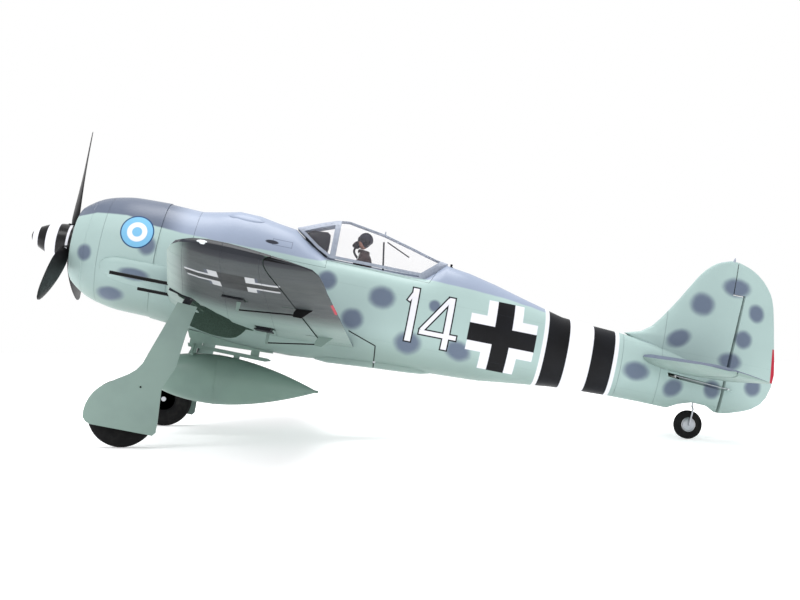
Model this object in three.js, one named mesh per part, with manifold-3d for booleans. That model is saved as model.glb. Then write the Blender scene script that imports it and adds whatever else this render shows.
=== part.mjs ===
// A radio-controlled propeller warbird of 1.5 m span, standing on its wheels with its tail low.
// Millimetres, +Z up, nose towards -X, port wing towards -Y. The origin is on the ground under the
// middle of the model. Inside the airframe group X runs aft from the spinner tip along the thrust
// line and Z is measured from that line.
import * as THREE from "three";
import { mergeVertices } from "three/addons/utils/BufferGeometryUtils.js";
import Module from "manifold-3d";

const wasm = await Module();
wasm.setup();

// ---------------------------------------------------------------- driving dimensions
const GROUND_ANGLE = THREE.MathUtils.degToRad(10.42);
const THRUST_HEIGHT = 330.6; // spinner tip above the ground
const HALF_LENGTH = 629; // spinner tip to the middle of the model, along the ground
const GAP = 0.4; // between pieces that touch

const COWL_FRONT = 76;
const COWL_REAR = 218;
const COWL_LIP_RADIUS = 50;
const SPINNER_LENGTH = 74;
const SPINNER_RADIUS = 30.5;
const PROP_RADIUS = 188;
const PROP_X = 65;
const PROP_START = THREE.MathUtils.degToRad(1.9);
const BLADES = 3;
const BLADE_PITCH = 205;

const NOSE_WALL = 226; // rear face of the bulkhead behind the motor
const BAY_REAR = 655;
const BAY_FLOOR = -34;
const SKIN = 8; // foam wall of the fuselage
const HATCH_FRONT = 271.5;
const HATCH_SEAM = 37.5;
const RAIL_X = 489; // where the windscreen meets the canopy rail
const RAIL_HEIGHT = 51;
const HATCH_REAR = 662;
const DECK_HEIGHT = 55;

const SPAN_SPLIT = 376; // aileron and flap meet here
const WING_LEAD = { x: 240, perSpan: 0.11, z: -62, rise: 0.0675 };
const WING_TRAIL = { x: 564, perSpan: -0.0966, z: -86, rise: 0.096 };
const WING_HINGE = { x: 517, perSpan: -0.108 };
const UPPER_SHARE = 0.6; // part of the wing's thickness above its chord
const FLAP_INNER = 87;
const SPAR = { x: 405, z: -52, radius: 6, half: 205 };

const PIVOT = new THREE.Vector3(308, -270, -51); // main leg retract pivot, port side
const AXLE = new THREE.Vector3(240, -270, -241.2); // where the axle leaves the port leg
const WHEEL_OFFSET = 18.5; // wheel centre inboard of the leg
const WHEEL_RADIUS = 50;
const WHEEL_HALF_WIDTH = 12.5;
const RETRACTED_LEG = new THREE.Vector3(0.13, 0.986, -0.105).normalize();
const OLEO = { tube: 6, tubeEnd: 122, bore: 4.4, rod: 4, rodStart: 78, travel: 8 };
const DOOR_OFFSET = 8;
const DOOR_THICKNESS = 2;

const TAIL_WHEEL = { x: 1145, z: -100.9, radius: 24.3, halfWidth: 6.5, pivotX: 1147 };
const RUDDER_HINGE = { x: 1192.3, lean: 0.0594 };
const HORN_HEIGHT = 131; // underside of the rudder's balance horn
const HORN_FRONT = 1182;
const ELEVATOR = { x: 1130, z: -9.75, inner: 21 };

const X = new THREE.Vector3(1, 0, 0);
const Y = new THREE.Vector3(0, 1, 0);
const Z = new THREE.Vector3(0, 0, 1);

// ---------------------------------------------------------------- materials
const finish = (color, roughness, metalness = 0) =>
  new THREE.MeshStandardMaterial({ color, roughness, metalness });
const PAINT_SIDE = finish(0xafc3bc, 0.55);
const PAINT_TOP = finish(0x6f7a8c, 0.55);
const PAINT_UNDER = finish(0x9aaba4, 0.6);
const BLACK_PLASTIC = finish(0x1d1d1f, 0.5);
const WHITE_PAINT = finish(0xf0f0f0, 0.4);
const GLASS = finish(0xdfe8ea, 0.05);
const RUBBER = finish(0x151515, 0.85);
const STEEL = finish(0xb8bcc0, 0.3, 0.9);
const CARBON = finish(0x202224, 0.45);
const PLYWOOD = finish(0xc8a872, 0.7);
const BATTERY_WRAP = finish(0x2d4f8e, 0.5);
const SERVO_CASE = finish(0x26282b, 0.5);
const FIGURE = finish(0x4a3b30, 0.7);

// ---------------------------------------------------------------- solids
function signedVolume(geometry) {
  const at = geometry.attributes.position;
  const index = geometry.index.array;
  const [a, b, c] = [new THREE.Vector3(), new THREE.Vector3(), new THREE.Vector3()];
  let sum = 0;
  for (let i = 0; i < index.length; i += 3) {
    a.fromBufferAttribute(at, index[i]);
    b.fromBufferAttribute(at, index[i + 1]);
    c.fromBufferAttribute(at, index[i + 2]);
    sum += a.dot(b.cross(c)) / 6;
  }
  return sum;
}

function facingOut(geometry) {
  if (signedVolume(geometry) < 0) geometry.index.array.reverse();
  return geometry;
}

// A closed geometry as a solid that can be joined and cut.
function solid(geometry) {
  const plain = geometry.clone();
  plain.deleteAttribute("normal");
  plain.deleteAttribute("uv");
  const merged = facingOut(mergeVertices(plain, 1e-3));
  return new wasm.Manifold(
    new wasm.Mesh({
      numProp: 3,
      vertProperties: merged.attributes.position.array,
      triVerts: new Uint32Array(merged.index.array),
    }),
  );
}

function geometryOf(body) {
  const mesh = body.getMesh();
  const points = [];
  for (let i = 0; i < mesh.numVert; i += 1) {
    const start = i * mesh.numProp;
    points.push(...mesh.vertProperties.subarray(start, start + 3));
  }
  const geometry = new THREE.BufferGeometry();
  geometry.setAttribute("position", new THREE.Float32BufferAttribute(points, 3));
  geometry.setIndex([...mesh.triVerts]);
  return geometry;
}

const join = (...geometries) => geometryOf(geometries.map(solid).reduce((a, b) => a.add(b)));
const cut = (geometry, ...tools) =>
  geometryOf(tools.map(solid).reduce((a, b) => a.subtract(b), solid(geometry)));
const common = (a, b) => geometryOf(solid(a).intersect(solid(b)));

function mirrored(geometry) {
  return facingOut(mergeVertices(geometry.clone().deleteAttribute("normal").scale(1, -1, 1)));
}

const placed = (geometry, matrix) => geometry.clone().applyMatrix4(matrix);

// A closed skin over rings that all have the same number of points.
function loft(rings) {
  const size = rings[0].length;
  const centre = (ring) =>
    ring.reduce((sum, p) => sum.add(p), new THREE.Vector3()).divideScalar(size);
  const points = [...rings.flat(), centre(rings[0]), centre(rings.at(-1))];
  const base = (rings.length - 1) * size;
  const faces = [];
  for (let j = 0; j < size; j += 1) {
    const next = (j + 1) % size;
    for (let start = 0; start < base; start += size) {
      faces.push(start + j, start + next, start + size + next);
      faces.push(start + j, start + size + next, start + size + j);
    }
    faces.push(points.length - 2, next, j);
    faces.push(points.length - 1, base + j, base + next);
  }
  const geometry = new THREE.BufferGeometry().setFromPoints(points);
  geometry.setIndex(new THREE.BufferAttribute(new Uint32Array(faces), 1));
  return facingOut(geometry);
}

function box(x, y, z) {
  const size = [x, y, z].map(([low, high]) => high - low);
  const middle = [x, y, z].map(([low, high]) => (low + high) / 2);
  return new THREE.BoxGeometry(...size).translate(...middle);
}

function rod(from, to, radius, sides = 12, endRadius = radius) {
  const along = new THREE.Vector3().subVectors(to, from);
  const turn = new THREE.Quaternion().setFromUnitVectors(Y, along.clone().normalize());
  const middle = new THREE.Vector3().addVectors(from, to).divideScalar(2);
  return new THREE.CylinderGeometry(endRadius, radius, along.length(), sides)
    .applyQuaternion(turn)
    .translate(middle.x, middle.y, middle.z);
}

const at = (x, y, z) => new THREE.Vector3(x, y, z);

function outline(points) {
  return new THREE.Shape(points.map(([u, v]) => new THREE.Vector2(u, v)));
}

// An outline in X and Z, given a thickness along Y.
function slab(shape, [low, high], curveSegments = 6) {
  const options = { depth: high - low, bevelEnabled: false, curveSegments };
  return new THREE.ExtrudeGeometry(shape, options)
    .rotateX(Math.PI / 2)
    .translate(0, high, 0);
}

// A profile of [distance along the axis, radius], turned about the X axis.
function turned(profile, sides) {
  const points = profile.map(([along, radius]) => new THREE.Vector2(radius, along));
  return new THREE.LatheGeometry(points, sides).rotateZ(-Math.PI / 2);
}

// ---------------------------------------------------------------- fuselage sections
// [x, top, bottom, half width, height of the widest point, power above it, power below it]
const FUSELAGE_STATIONS = [
  [218.4, 95.5, -98, 95, 0, 2, 2],
  [271, 93.5, -103, 92, 0, 2, 2.05],
  [300, 99, -105, 90, 0, 2, 2.1],
  [332, 106, -109, 87.5, -1, 2.05, 2.15],
  [367, 105, -113, 84.5, -2, 2.1, 2.2],
  [400, 99, -115, 82, -3, 2.15, 2.2],
  [429, 95, -115, 79.5, -4, 2.2, 2.2],
  [460, 73, -115, 77, -5, 2.7, 2.2],
  [489, 55, -113, 75, -6, 3.6, 2.2],
  [560, 55, -107, 70, -8, 3.6, 2.2],
  [620, 54, -103, 66.5, -9, 3.5, 2.2],
  [655, 56, -101.5, 64.5, -10, 3.2, 2.2],
  [688, 85, -100, 62.5, -10, 2.1, 2.2],
  [731, 79, -98.5, 60, -11, 2.1, 2.2],
  [776, 69, -96.5, 57, -12, 2.1, 2.2],
  [832, 54, -90, 52.5, -14, 2.1, 2.15],
  [899, 37, -83, 45, -17, 2.1, 2.1],
  [949, 33, -80.5, 39, -19, 2.1, 2.1],
  [1002, 30, -79, 33, -21, 2.1, 2.1],
  [1057, 24, -79, 26, -24, 2.1, 2.1],
  [1103, 16, -80, 20, -28, 2.1, 2.1],
  [1122, 12, -70, 17.7, -27, 2.1, 2.1],
  [1145, 6, -63, 14.7, -27, 2.1, 2.1],
  [1170, 0, -64, 11.5, -30, 2.1, 2.1],
  [1198, -4, -73, 8.5, -36, 2.1, 2.1],
];
const RING_POINTS = 32;

function fuselageRing([x, top, bottom, half, middle, upper, lower], inset) {
  return Array.from({ length: RING_POINTS }, (_, k) => {
    const angle = (2 * Math.PI * k) / RING_POINTS;
    const [side, height] = [Math.cos(angle), Math.sin(angle)];
    const power = height >= 0 ? upper : lower;
    const reach = height >= 0 ? top - inset - middle : middle - bottom - inset;
    const y = (half - inset) * Math.sign(side) * Math.abs(side) ** (2 / power);
    const z = middle + reach * Math.sign(height) * Math.abs(height) ** (2 / power);
    return at(x, y, z);
  });
}

const fuselageBody = (inset) => loft(FUSELAGE_STATIONS.map((row) => fuselageRing(row, inset)));

// The stations between two distances, for the hollow inside the skin.
function hollow(front, rear, inset) {
  const rows = FUSELAGE_STATIONS.filter(([x]) => x > front && x < rear);
  const ends = [[front, ...rows[0].slice(1)], ...rows, [rear, ...rows.at(-1).slice(1)]];
  return loft(ends.map((row) => fuselageRing(row, inset)));
}

// ---------------------------------------------------------------- aerofoils
const AEROFOIL_STEPS = 10;
const EDGE_HALF = 0.9; // half thickness of a trailing edge

function halfThickness(share, thickness) {
  const curve =
    0.2969 * Math.sqrt(share) -
    0.126 * share -
    0.3516 * share ** 2 +
    0.2843 * share ** 3 -
    0.1036 * share ** 4;
  return 5 * thickness * curve + EDGE_HALF * share;
}

function aerofoilRing(lead, trail, thickness, upperShare, up) {
  const point = (share, side) => {
    const part = side > 0 ? upperShare : upperShare - 1;
    const offset = 2 * part * halfThickness(share, thickness);
    return lead.clone().lerp(trail, share).addScaledVector(up, offset);
  };
  const shares = Array.from(
    { length: AEROFOIL_STEPS },
    (_, k) => (1 + Math.cos((Math.PI * k) / AEROFOIL_STEPS)) / 2,
  );
  const above = shares.map((share) => point(share, 1));
  const below = shares.map((share) => point(share, -1)).reverse();
  return [...above, lead.clone(), ...below];
}

const edge = (line, span) => line.x + line.perSpan * span;
const edgePoint = (line, span, shift = 0) =>
  at(edge(line, span) + shift, -span, line.z + line.rise * span);

// [span, thickness over chord, how far the tip rounds the leading edge, and the trailing edge, lift]
const WING_STATIONS = [
  [12, 0.165, 0, 0, 0],
  [150, 0.163, 0, 0, 0],
  [300, 0.158, 0, 0, 0],
  [460, 0.148, 0, 0, 0],
  [620, 0.135, 0, 0, 0],
  [690, 0.13, 0, 0, 1.5],
  [725, 0.128, 4, 3, 4],
  [742, 0.11, 12, 9, 6],
  [750, 0.05, 28, 24, 7],
];

const wingBody = loft(
  WING_STATIONS.map(([span, ratio, front, back, lift]) => {
    const lead = edgePoint(WING_LEAD, span, front).addScaledVector(Z, lift);
    const trail = edgePoint(WING_TRAIL, span, -back).addScaledVector(Z, lift);
    return aerofoilRing(lead, trail, ratio * lead.distanceTo(trail), UPPER_SHARE, Z);
  }),
);

// The middle of the wing's thickness at a given span and distance aft.
function wingMiddle(span, x, ratio) {
  const lead = edgePoint(WING_LEAD, span);
  const trail = edgePoint(WING_TRAIL, span);
  const share = (x - lead.x) / (trail.x - lead.x);
  const lift = (2 * UPPER_SHARE - 1) * halfThickness(share, ratio * (trail.x - lead.x));
  return at(x, -span, lead.z + share * (trail.z - lead.z) + lift);
}

// A frame on a hinge line: X aft, Y along the line towards the body, Z up.
function hingeFrame(origin, inner, outer) {
  const inboard = new THREE.Vector3().subVectors(inner, outer).normalize();
  const aft = new THREE.Vector3().crossVectors(inboard, Z).normalize();
  const up = new THREE.Vector3().crossVectors(aft, inboard);
  return new THREE.Matrix4().makeBasis(aft, inboard, up).setPosition(origin);
}

const wingHinge = (span, ratio) => wingMiddle(span, edge(WING_HINGE, span), ratio);
const WING_FRAME = hingeFrame(
  wingHinge(SPAN_SPLIT, 0.153),
  wingHinge(FLAP_INNER, 0.163),
  wingHinge(740, 0.118),
);

// What lies behind a hinge, with its front faces sloped back so that it can swing.
function swingRegion(upAngle, downAngle, reach, range) {
  const back = (angle) => reach * Math.tan(THREE.MathUtils.degToRad(angle));
  const points = [
    [0, 0],
    [back(upAngle), reach],
    [150, reach],
    [150, -reach],
    [back(downAngle), -reach],
  ];
  return slab(outline(points), range);
}

const COVE = 1.2; // from a swinging surface forward to the fixed face
const AILERON_RANGE = [-400, -0.6];
const FLAP_RANGE = [0.6, SPAN_SPLIT - FLAP_INNER];

// Radius of the round nose of an aileron or flap, at a distance along the hinge line.
function noseRadius(y) {
  const span = SPAN_SPLIT - y;
  const [lead, trail] = [edge(WING_LEAD, span), edge(WING_TRAIL, span)];
  const share = (edge(WING_HINGE, span) - lead) / (trail - lead);
  const ratio = 0.169 - 0.00006 * span;
  return halfThickness(share, ratio * (trail - lead)) - 0.3;
}

// Everything behind the hinge line and the round nose in front of it.
function roundNosed([outer, inner], clearance) {
  const start = noseRadius(outer) + clearance;
  const nose = rod(at(0, outer, 0), at(0, inner, 0), start, 28, noseRadius(inner) + clearance);
  return join(box([0, 150], [outer, inner], [-60, 60]), nose);
}

// ---------------------------------------------------------------- servo linkages
// Each linkage is a parallelogram: the arm and the horn are equal and parallel, and a straight rod
// joins their tips. x and z place the arm's shaft from the hinge line, y is the plane of arm and horn.
const WING_LINKS = {
  aileron: { x: -78, y: -81, z: -7.5, drop: 17, skin: -14.2, horn: 5.2, sweep: [-17, 12] },
  flap: { x: -78, y: 226, z: -12.5, drop: 22, skin: -19, horn: 7.2, sweep: [-24, 10] },
};
const ARM_HALF = 0.9;
const ROD_RADIUS = 1;
const ROD_SHIFT = ARM_HALF + GAP + ROD_RADIUS;
const HORN_HALF = 1.1;

function lever(length, rootRadius, tipRadius) {
  const shape = new THREE.Shape();
  shape.absarc(0, 0, rootRadius, 0, Math.PI, false);
  shape.absarc(0, -length, tipRadius, Math.PI, 2 * Math.PI, false);
  return slab(shape, [-ARM_HALF, ARM_HALF], 5);
}

function linkRod(from, to, sideways) {
  const eye = (end) =>
    rod(
      end.clone().addScaledVector(sideways, -ROD_RADIUS),
      end.clone().addScaledVector(sideways, ROD_RADIUS),
      2.2,
      8,
    );
  return join(rod(from, to, ROD_RADIUS, 8), eye(from), eye(to));
}

function wingHorn({ y, drop, horn }) {
  const points = [
    [2.5, -horn + 2],
    [26, -horn + 2.5],
    [8, -drop - 3],
    [-3.5, -drop - 3],
    [-3.5, -drop + 3],
  ];
  return slab(outline(points), [y - HORN_HALF, y + HORN_HALF]);
}

const SERVO = { length: 23, shaft: 17, half: 6, width: 21.5 };

function wingServo({ x, y, z, skin }) {
  const side = y - ARM_HALF - 1.5;
  const body = box(
    [x - SERVO.shaft, x - SERVO.shaft + SERVO.length],
    [side - SERVO.width, side],
    [skin + 1, z + SERVO.half],
  );
  const shaft = rod(at(x, side - 1, z), at(x, y - ARM_HALF - 0.3, z), 2.6);
  const cover = box(
    [x - SERVO.shaft - 3, x - SERVO.shaft + SERVO.length + 3],
    [side - SERVO.width - 2, side + 0.5],
    [skin - 0.2, skin + 1.5],
  );
  return join(body, shaft, cover);
}

function wingServoPocket({ x, y, z, skin, sweep }) {
  const side = y - ARM_HALF - 1.5;
  const body = box(
    [x - SERVO.shaft - 3.5, x - SERVO.shaft + SERVO.length + 3.5],
    [side - SERVO.width - 2.5, side + 1],
    [skin - 12, z + SERVO.half + 0.5],
  );
  const slot = box([x + sweep[0], x + sweep[1]], [side, y + 4.6], [skin - 12, z + 4.2]);
  return join(body, slot);
}

// ---------------------------------------------------------------- main gear frames
const LEG = new THREE.Vector3().subVectors(AXLE, PIVOT);
const LEG_LENGTH = LEG.length();
const LEG_DOWN = LEG.clone().normalize();

// X across the leg, Y towards the body, Z up along the leg.
function legBasis(down, inboard) {
  const up = down.clone().negate();
  const side = new THREE.Vector3().crossVectors(inboard, up).normalize();
  return new THREE.Matrix4().makeBasis(side, inboard, up);
}

const WHEEL_UP_SIDE = new THREE.Vector3().crossVectors(X, RETRACTED_LEG).normalize();
const LEG_FRAME = legBasis(LEG_DOWN, Y).setPosition(PIVOT);
const RETRACTED = legBasis(
  RETRACTED_LEG,
  new THREE.Vector3().crossVectors(
    RETRACTED_LEG,
    new THREE.Vector3().crossVectors(WHEEL_UP_SIDE, RETRACTED_LEG),
  ).normalize(),
);
const RETRACT_TURN = new THREE.Matrix4()
  .makeTranslation(PIVOT)
  .multiply(RETRACTED)
  .multiply(legBasis(LEG_DOWN, Y).invert())
  .multiply(new THREE.Matrix4().makeTranslation(PIVOT.clone().negate()));

function axisOf(matrix) {
  const turn = new THREE.Quaternion().setFromRotationMatrix(matrix);
  return new THREE.Vector3(turn.x, turn.y, turn.z).normalize();
}
const RETRACT_AXIS = axisOf(RETRACT_TURN);

const DOOR_OUTLINE = [
  [291, -66],
  [320, -67.5],
  [312, -110],
  [307, -160],
  [293, -193],
  [295, -220],
  [297, -243],
  [297, -258],
  [293, -263],
  [202, -263],
  [195, -260.5],
  [190, -255],
  [189, -246],
  [190, -236],
  [193, -226],
  [198, -216.5],
  [205, -208],
  [214, -200.5],
  [229, -190.5],
  [243, -181.5],
  [252, -173.5],
  [259, -163],
  [277, -110],
];

// The outline moved outwards along the normal at each corner.
function grown(points, by) {
  return points.map(([x, z], k) => {
    const [ax, az] = points.at(k - 1);
    const [bx, bz] = points[(k + 1) % points.length];
    const length = Math.hypot(bx - ax, bz - az);
    return [x - (by * (bz - az)) / length, z + (by * (bx - ax)) / length];
  });
}

const hull = (...geometries) => geometryOf(wasm.Manifold.hull(geometries.map(solid)));

// The gear's turn about its pivot, as a share of the whole retraction.
function retractedBy(share) {
  const turn = new THREE.Quaternion().setFromRotationMatrix(RETRACT_TURN);
  const part = new THREE.Quaternion().slerp(turn, share);
  return new THREE.Matrix4()
    .makeTranslation(PIVOT)
    .multiply(new THREE.Matrix4().makeRotationFromQuaternion(part))
    .multiply(new THREE.Matrix4().makeTranslation(PIVOT.clone().negate()));
}

// Everything that the leg, door and wheel pass through on their way up into the wing.
function gearWell() {
  // A cylinder about the axle, stretched by the leg's travel.
  const around = (outboard, inboard, radius, sides) => {
    const ends = [0, -OLEO.travel].map((along) => {
      const centre = AXLE.clone().addScaledVector(LEG_DOWN, along).addScaledVector(Y, WHEEL_OFFSET);
      return rod(centre.clone().addScaledVector(Y, outboard), centre.addScaledVector(Y, inboard), radius, sides);
    });
    return hull(...ends);
  };
  const tyre = around(-WHEEL_HALF_WIDTH - 9, WHEEL_HALF_WIDTH + 1.3, WHEEL_RADIUS + 1.8, 16);
  const collar = around(0, WHEEL_HALF_WIDTH + 5.5, 6.5, 8);
  const wheelPath = [1, 0.9, 0.78].map((share) => placed(tyre, retractedBy(share)));
  const below = PIVOT.y - 70;
  const door = slab(outline(grown(DOOR_OUTLINE, 4.5)), [below, PIVOT.y - DOOR_OFFSET + 3]);
  const legRoom = placed(
    box([-10, 10], [below - PIVOT.y, 9], [-LEG_LENGTH - 8, 0]),
    LEG_FRAME,
  );
  const pivotRoom = rod(
    PIVOT.clone().addScaledVector(RETRACT_AXIS, -17),
    PIVOT.clone().addScaledVector(RETRACT_AXIS, 17),
    11,
  );
  const parked = placed(join(door, legRoom), RETRACT_TURN);
  const lowered = placed(box([-16.5, 16.5], [-16, 9], [-80, 0]), LEG_FRAME);
  const swept = [hull(wheelPath[0], wheelPath[1]), hull(wheelPath[1], wheelPath[2])];
  return join(parked, lowered, pivotRoom, ...swept, placed(collar, RETRACT_TURN));
}

// X along the retract axis, Y inboard, Z up.
const UNIT_FRAME = (() => {
  const along = RETRACT_AXIS.clone();
  if (along.x < 0) along.negate();
  const up = Z.clone().addScaledVector(along, -along.z).normalize();
  const inboard = new THREE.Vector3().crossVectors(up, along);
  return new THREE.Matrix4().makeBasis(along, inboard, up).setPosition(PIVOT);
})();

// ---------------------------------------------------------------- vertical tail
// [height, leading edge, trailing edge, thickness]
const FIN_STATIONS = [
  [-72, 1186, 1196, 8],
  [-70, 1181.5, 1208, 11],
  [-66, 1174, 1220, 13],
  [-61, 1162, 1235, 14],
  [-55, 1150, 1248, 15],
  [-44, 1124, 1262, 16],
  [-31, 1100, 1270, 17],
  [-12, 1079, 1275.5, 18],
  [10, 1060, 1277, 19],
  [32, 1008, 1273.5, 20],
  [40, 1036, 1272, 19.5],
  [52, 1053, 1269.5, 19],
  [68, 1066, 1266.5, 18],
  [88, 1079.5, 1262.8, 16.5],
  [109, 1093, 1258.5, 15],
  [123, 1101, 1255.3, 14],
  [136, 1109, 1251, 13],
  [145, 1114.2, 1246.5, 12.2],
  [154, 1120, 1240, 11.5],
  [164, 1127.8, 1231, 10.2],
  [173, 1137, 1219.8, 9],
  [179, 1145, 1209.5, 8],
  [183, 1153, 1200.5, 7],
  [188, 1168, 1183, 4],
];

const finBody = loft(
  FIN_STATIONS.map(([z, lead, trail, thickness]) =>
    aerofoilRing(at(lead, 0, z), at(trail, 0, z), thickness, 0.5, Y),
  ),
);

// X aft, Y to starboard, Z up along the rudder's hinge.
const RUDDER_FRAME = (() => {
  const up = at(RUDDER_HINGE.lean, 0, 1).normalize();
  const aft = new THREE.Vector3().crossVectors(Y, up);
  const z = -31;
  const origin = at(RUDDER_HINGE.x + RUDDER_HINGE.lean * z, 0, z);
  return new THREE.Matrix4().makeBasis(aft, Y, up).setPosition(origin);
})();

const RUDDER_LINK = { x: -94, tipX: 8, tipY: -15 };

function rudderRegion() {
  const back = 30 * Math.tan(THREE.MathUtils.degToRad(32));
  const plan = outline([
    [0, 0],
    [back, -30],
    [150, -30],
    [150, 30],
    [back, 30],
  ]);
  const top = HORN_HEIGHT + 60;
  return new THREE.ExtrudeGeometry(plan, { depth: top + 60, bevelEnabled: false }).translate(0, 0, -60);
}

// ---------------------------------------------------------------- horizontal tail
// [span, thickness, how far the tip rounds the leading edge, and the trailing edge]
const STABILIZER_STATIONS = [
  [8, 21, 0, 0],
  [90, 18.5, 0, 0],
  [180, 15, 0, 0],
  [236, 12.5, 0, 0],
  [252, 9, 8, 6],
  [260, 4, 30, 26],
];

const tailHeight = (x) => -3 - 0.075 * (x - 1040);

const stabilizerBody = loft(
  STABILIZER_STATIONS.map(([span, thickness, front, back]) => {
    const lead = 1036 + 0.19 * span + front;
    const trail = 1203 - 0.062 * span - back;
    const point = (x) => at(x, -span, tailHeight(x));
    return aerofoilRing(point(lead), point(trail), thickness, 0.5, Z);
  }),
);

const ELEVATOR_FRAME = new THREE.Matrix4().makeTranslation(ELEVATOR.x, 0, ELEVATOR.z);
const ELEVATOR_LINK = { x: -72, y: 30, z: -12, drop: 20 };

// ---------------------------------------------------------------- assembly helpers
const airframe = new THREE.Group();
airframe.rotation.y = GROUND_ANGLE;
airframe.position.set(-HALF_LENGTH, 0, THRUST_HEIGHT);

const sides = { left: new THREE.Group(), right: new THREE.Group() };
sides.right.scale.y = -1;
airframe.add(sides.left, sides.right);

function piece(name, geometry, material, frame = new THREE.Matrix4()) {
  const mesh = new THREE.Mesh(geometry, material);
  mesh.name = name;
  mesh.applyMatrix4(frame);
  return mesh;
}

const add = (...details) => airframe.add(piece(...details));

function addPair(name, geometry, material, frame) {
  for (const [side, group] of Object.entries(sides)) {
    group.add(piece(`${name}_${side}`, geometry, material, frame));
  }
}

// ---------------------------------------------------------------- hatch and canopy
// Everything above the seam line of the lift-off deck.
function hatchRegion(clearance) {
  const points = [
    [HATCH_FRONT + clearance, HATCH_SEAM + clearance],
    [RAIL_X - clearance, HATCH_SEAM + clearance],
    [RAIL_X - clearance, RAIL_HEIGHT + clearance],
    [HATCH_REAR - clearance, RAIL_HEIGHT - 4 + clearance],
    [HATCH_REAR + 20 - clearance, 88],
    [HATCH_REAR + 20 - clearance, 140],
    [HATCH_FRONT + clearance, 140],
  ];
  return slab(outline(points), [-120, 120]);
}

const TUB = { x: [RAIL_X - 8, BAY_REAR - 6], half: 34, floor: 40 };

function hatchDeck() {
  const shell = common(fuselageBody(0), hatchRegion(GAP / 2));
  const inside = common(
    hollow(HATCH_FRONT + 6, 470, 6),
    box([HATCH_FRONT, 480], [-100, 100], [0, 120]),
  );
  const tub = box(TUB.x, [-TUB.half, TUB.half], [TUB.floor, DECK_HEIGHT - 3]);
  return join(cut(shell, inside), tub);
}

// [x, base, top, half width at the base]
const CANOPY_STATIONS = [
  [431, 95.8, 98, 16],
  [446, 85.5, 104, 30],
  [470, 68, 114, 40],
  [492, 56.2, 122, 44],
  [514, 56, 125, 45],
  [576, 56, 115, 43.5],
  [630, 56, 101, 39],
  [651, 56.6, 95, 34],
  [672, 74, 89.5, 20],
];

function canopyRing([x, base, top, half], inset) {
  const count = 20;
  const arc = Array.from({ length: count + 1 }, (_, k) => {
    const angle = (Math.PI * k) / count;
    const [side, height] = [Math.cos(angle), Math.sin(angle)];
    const y = (half - inset) * Math.sign(side) * Math.abs(side) ** 0.8;
    return at(x, y, base + (top - base - inset) * height ** 0.9);
  });
  return arc;
}

function canopyGlass() {
  const wall = 1.2;
  const outer = loft(CANOPY_STATIONS.map((row) => canopyRing(row, 0)));
  const within = CANOPY_STATIONS.slice(1, -1).map(([x, base, top, half]) => [x, base - 4, top, half]);
  return cut(outer, loft(within.map((row) => canopyRing(row, wall))));
}

function pilotFigure() {
  const ball = (x, y, z, radius, scale) =>
    new THREE.SphereGeometry(radius, 10, 8).scale(...scale).translate(x, y, z);
  return join(
    ball(552, 0, 66, 20, [0.8, 1.15, 0.55]),
    rod(at(546, 0, 66), at(544, 0, 90), 6.5),
    ball(544, 0, 98, 14, [1, 0.9, 1.08]),
    box([538, 566], [-14, 14], [55.4, 66]),
  );
}

// ---------------------------------------------------------------- fuselage
const inflated = fuselageBody(-GAP);
const wells = gearWell();
const sparHole = rod(at(SPAR.x, -SPAR.half - 1, SPAR.z), at(SPAR.x, SPAR.half + 1, SPAR.z), SPAR.radius + GAP, 16);
const joinerHole = rod(at(ELEVATOR.x, -32, ELEVATOR.z), at(ELEVATOR.x, 32, ELEVATOR.z), 3.2);

function bay() {
  const room = common(
    hollow(NOSE_WALL, BAY_REAR, SKIN),
    box([NOSE_WALL, BAY_REAR], [-100, 100], [BAY_FLOOR, 120]),
  );
  const mouth = box([TUB.x[0] - 2, TUB.x[1] + 2], [-TUB.half - 2, TUB.half + 2], [TUB.floor - 3, 90]);
  return join(room, mouth);
}

function rudderServoRoom() {
  const { x } = RUDDER_LINK;
  const body = box([x - 18, x + 7], [-6.6, 6.6], [-27, -2]);
  const armRoom = box([x - 9, x + 18], [-21.5, 4.5], [-2.4, 4.2]);
  const tunnel = box([x, 0], [-21.5, -7.2], [-2.4, 4.2]);
  return placed(join(body, armRoom, tunnel), RUDDER_FRAME);
}

function elevatorServoRoom() {
  const { x, z } = ELEVATOR_LINK;
  const body = box([x - 17.5, x + 6.5], [-2, 23.5], [z - 6.5, z + 6.5]);
  return placed(join(body, rod(at(x, 20, z), at(x, 40, z), 3.8)), ELEVATOR_FRAME);
}

function fuselage() {
  const whole = join(fuselageBody(0), finBody);
  const behindHinge = placed(box([-COVE, 150], [-40, 40], [-80, HORN_HEIGHT + 39]), RUDDER_FRAME);
  const behindHorn = box([HORN_FRONT - 1, 1300], [-40, 40], [HORN_HEIGHT - 0.5, 220]);
  const tailPost = rod(at(TAIL_WHEEL.pivotX, 0, -80), at(TAIL_WHEEL.pivotX, 0, -38), 2);
  const shell = cut(whole, behindHinge, behindHorn, bay(), hatchRegion(-GAP / 2));
  const tail = cut(shell, rudderServoRoom(), elevatorServoRoom(), joinerHole, tailPost);
  return cut(tail, wells, mirrored(wells), sparHole);
}

function rudder() {
  const lower = placed(rudderRegion(), RUDDER_FRAME);
  const horn = box([HORN_FRONT + 0.5, 1300], [-40, 40], [HORN_HEIGHT + 1.5, 220]);
  const lowCut = box([1100, 1300], [-40, 40], [-90, HORN_HEIGHT + 1.6]);
  const arm = outline([
    [5, -5],
    [5, RUDDER_LINK.tipY - 3],
    [11, RUDDER_LINK.tipY - 3],
    [18, -5],
  ]);
  const plate = new THREE.ExtrudeGeometry(arm, { depth: 2 * HORN_HALF, bevelEnabled: false });
  const hornArm = placed(plate.translate(0, 0, -HORN_HALF), RUDDER_FRAME);
  return join(common(finBody, join(common(lower, lowCut), horn)), hornArm);
}

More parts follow.
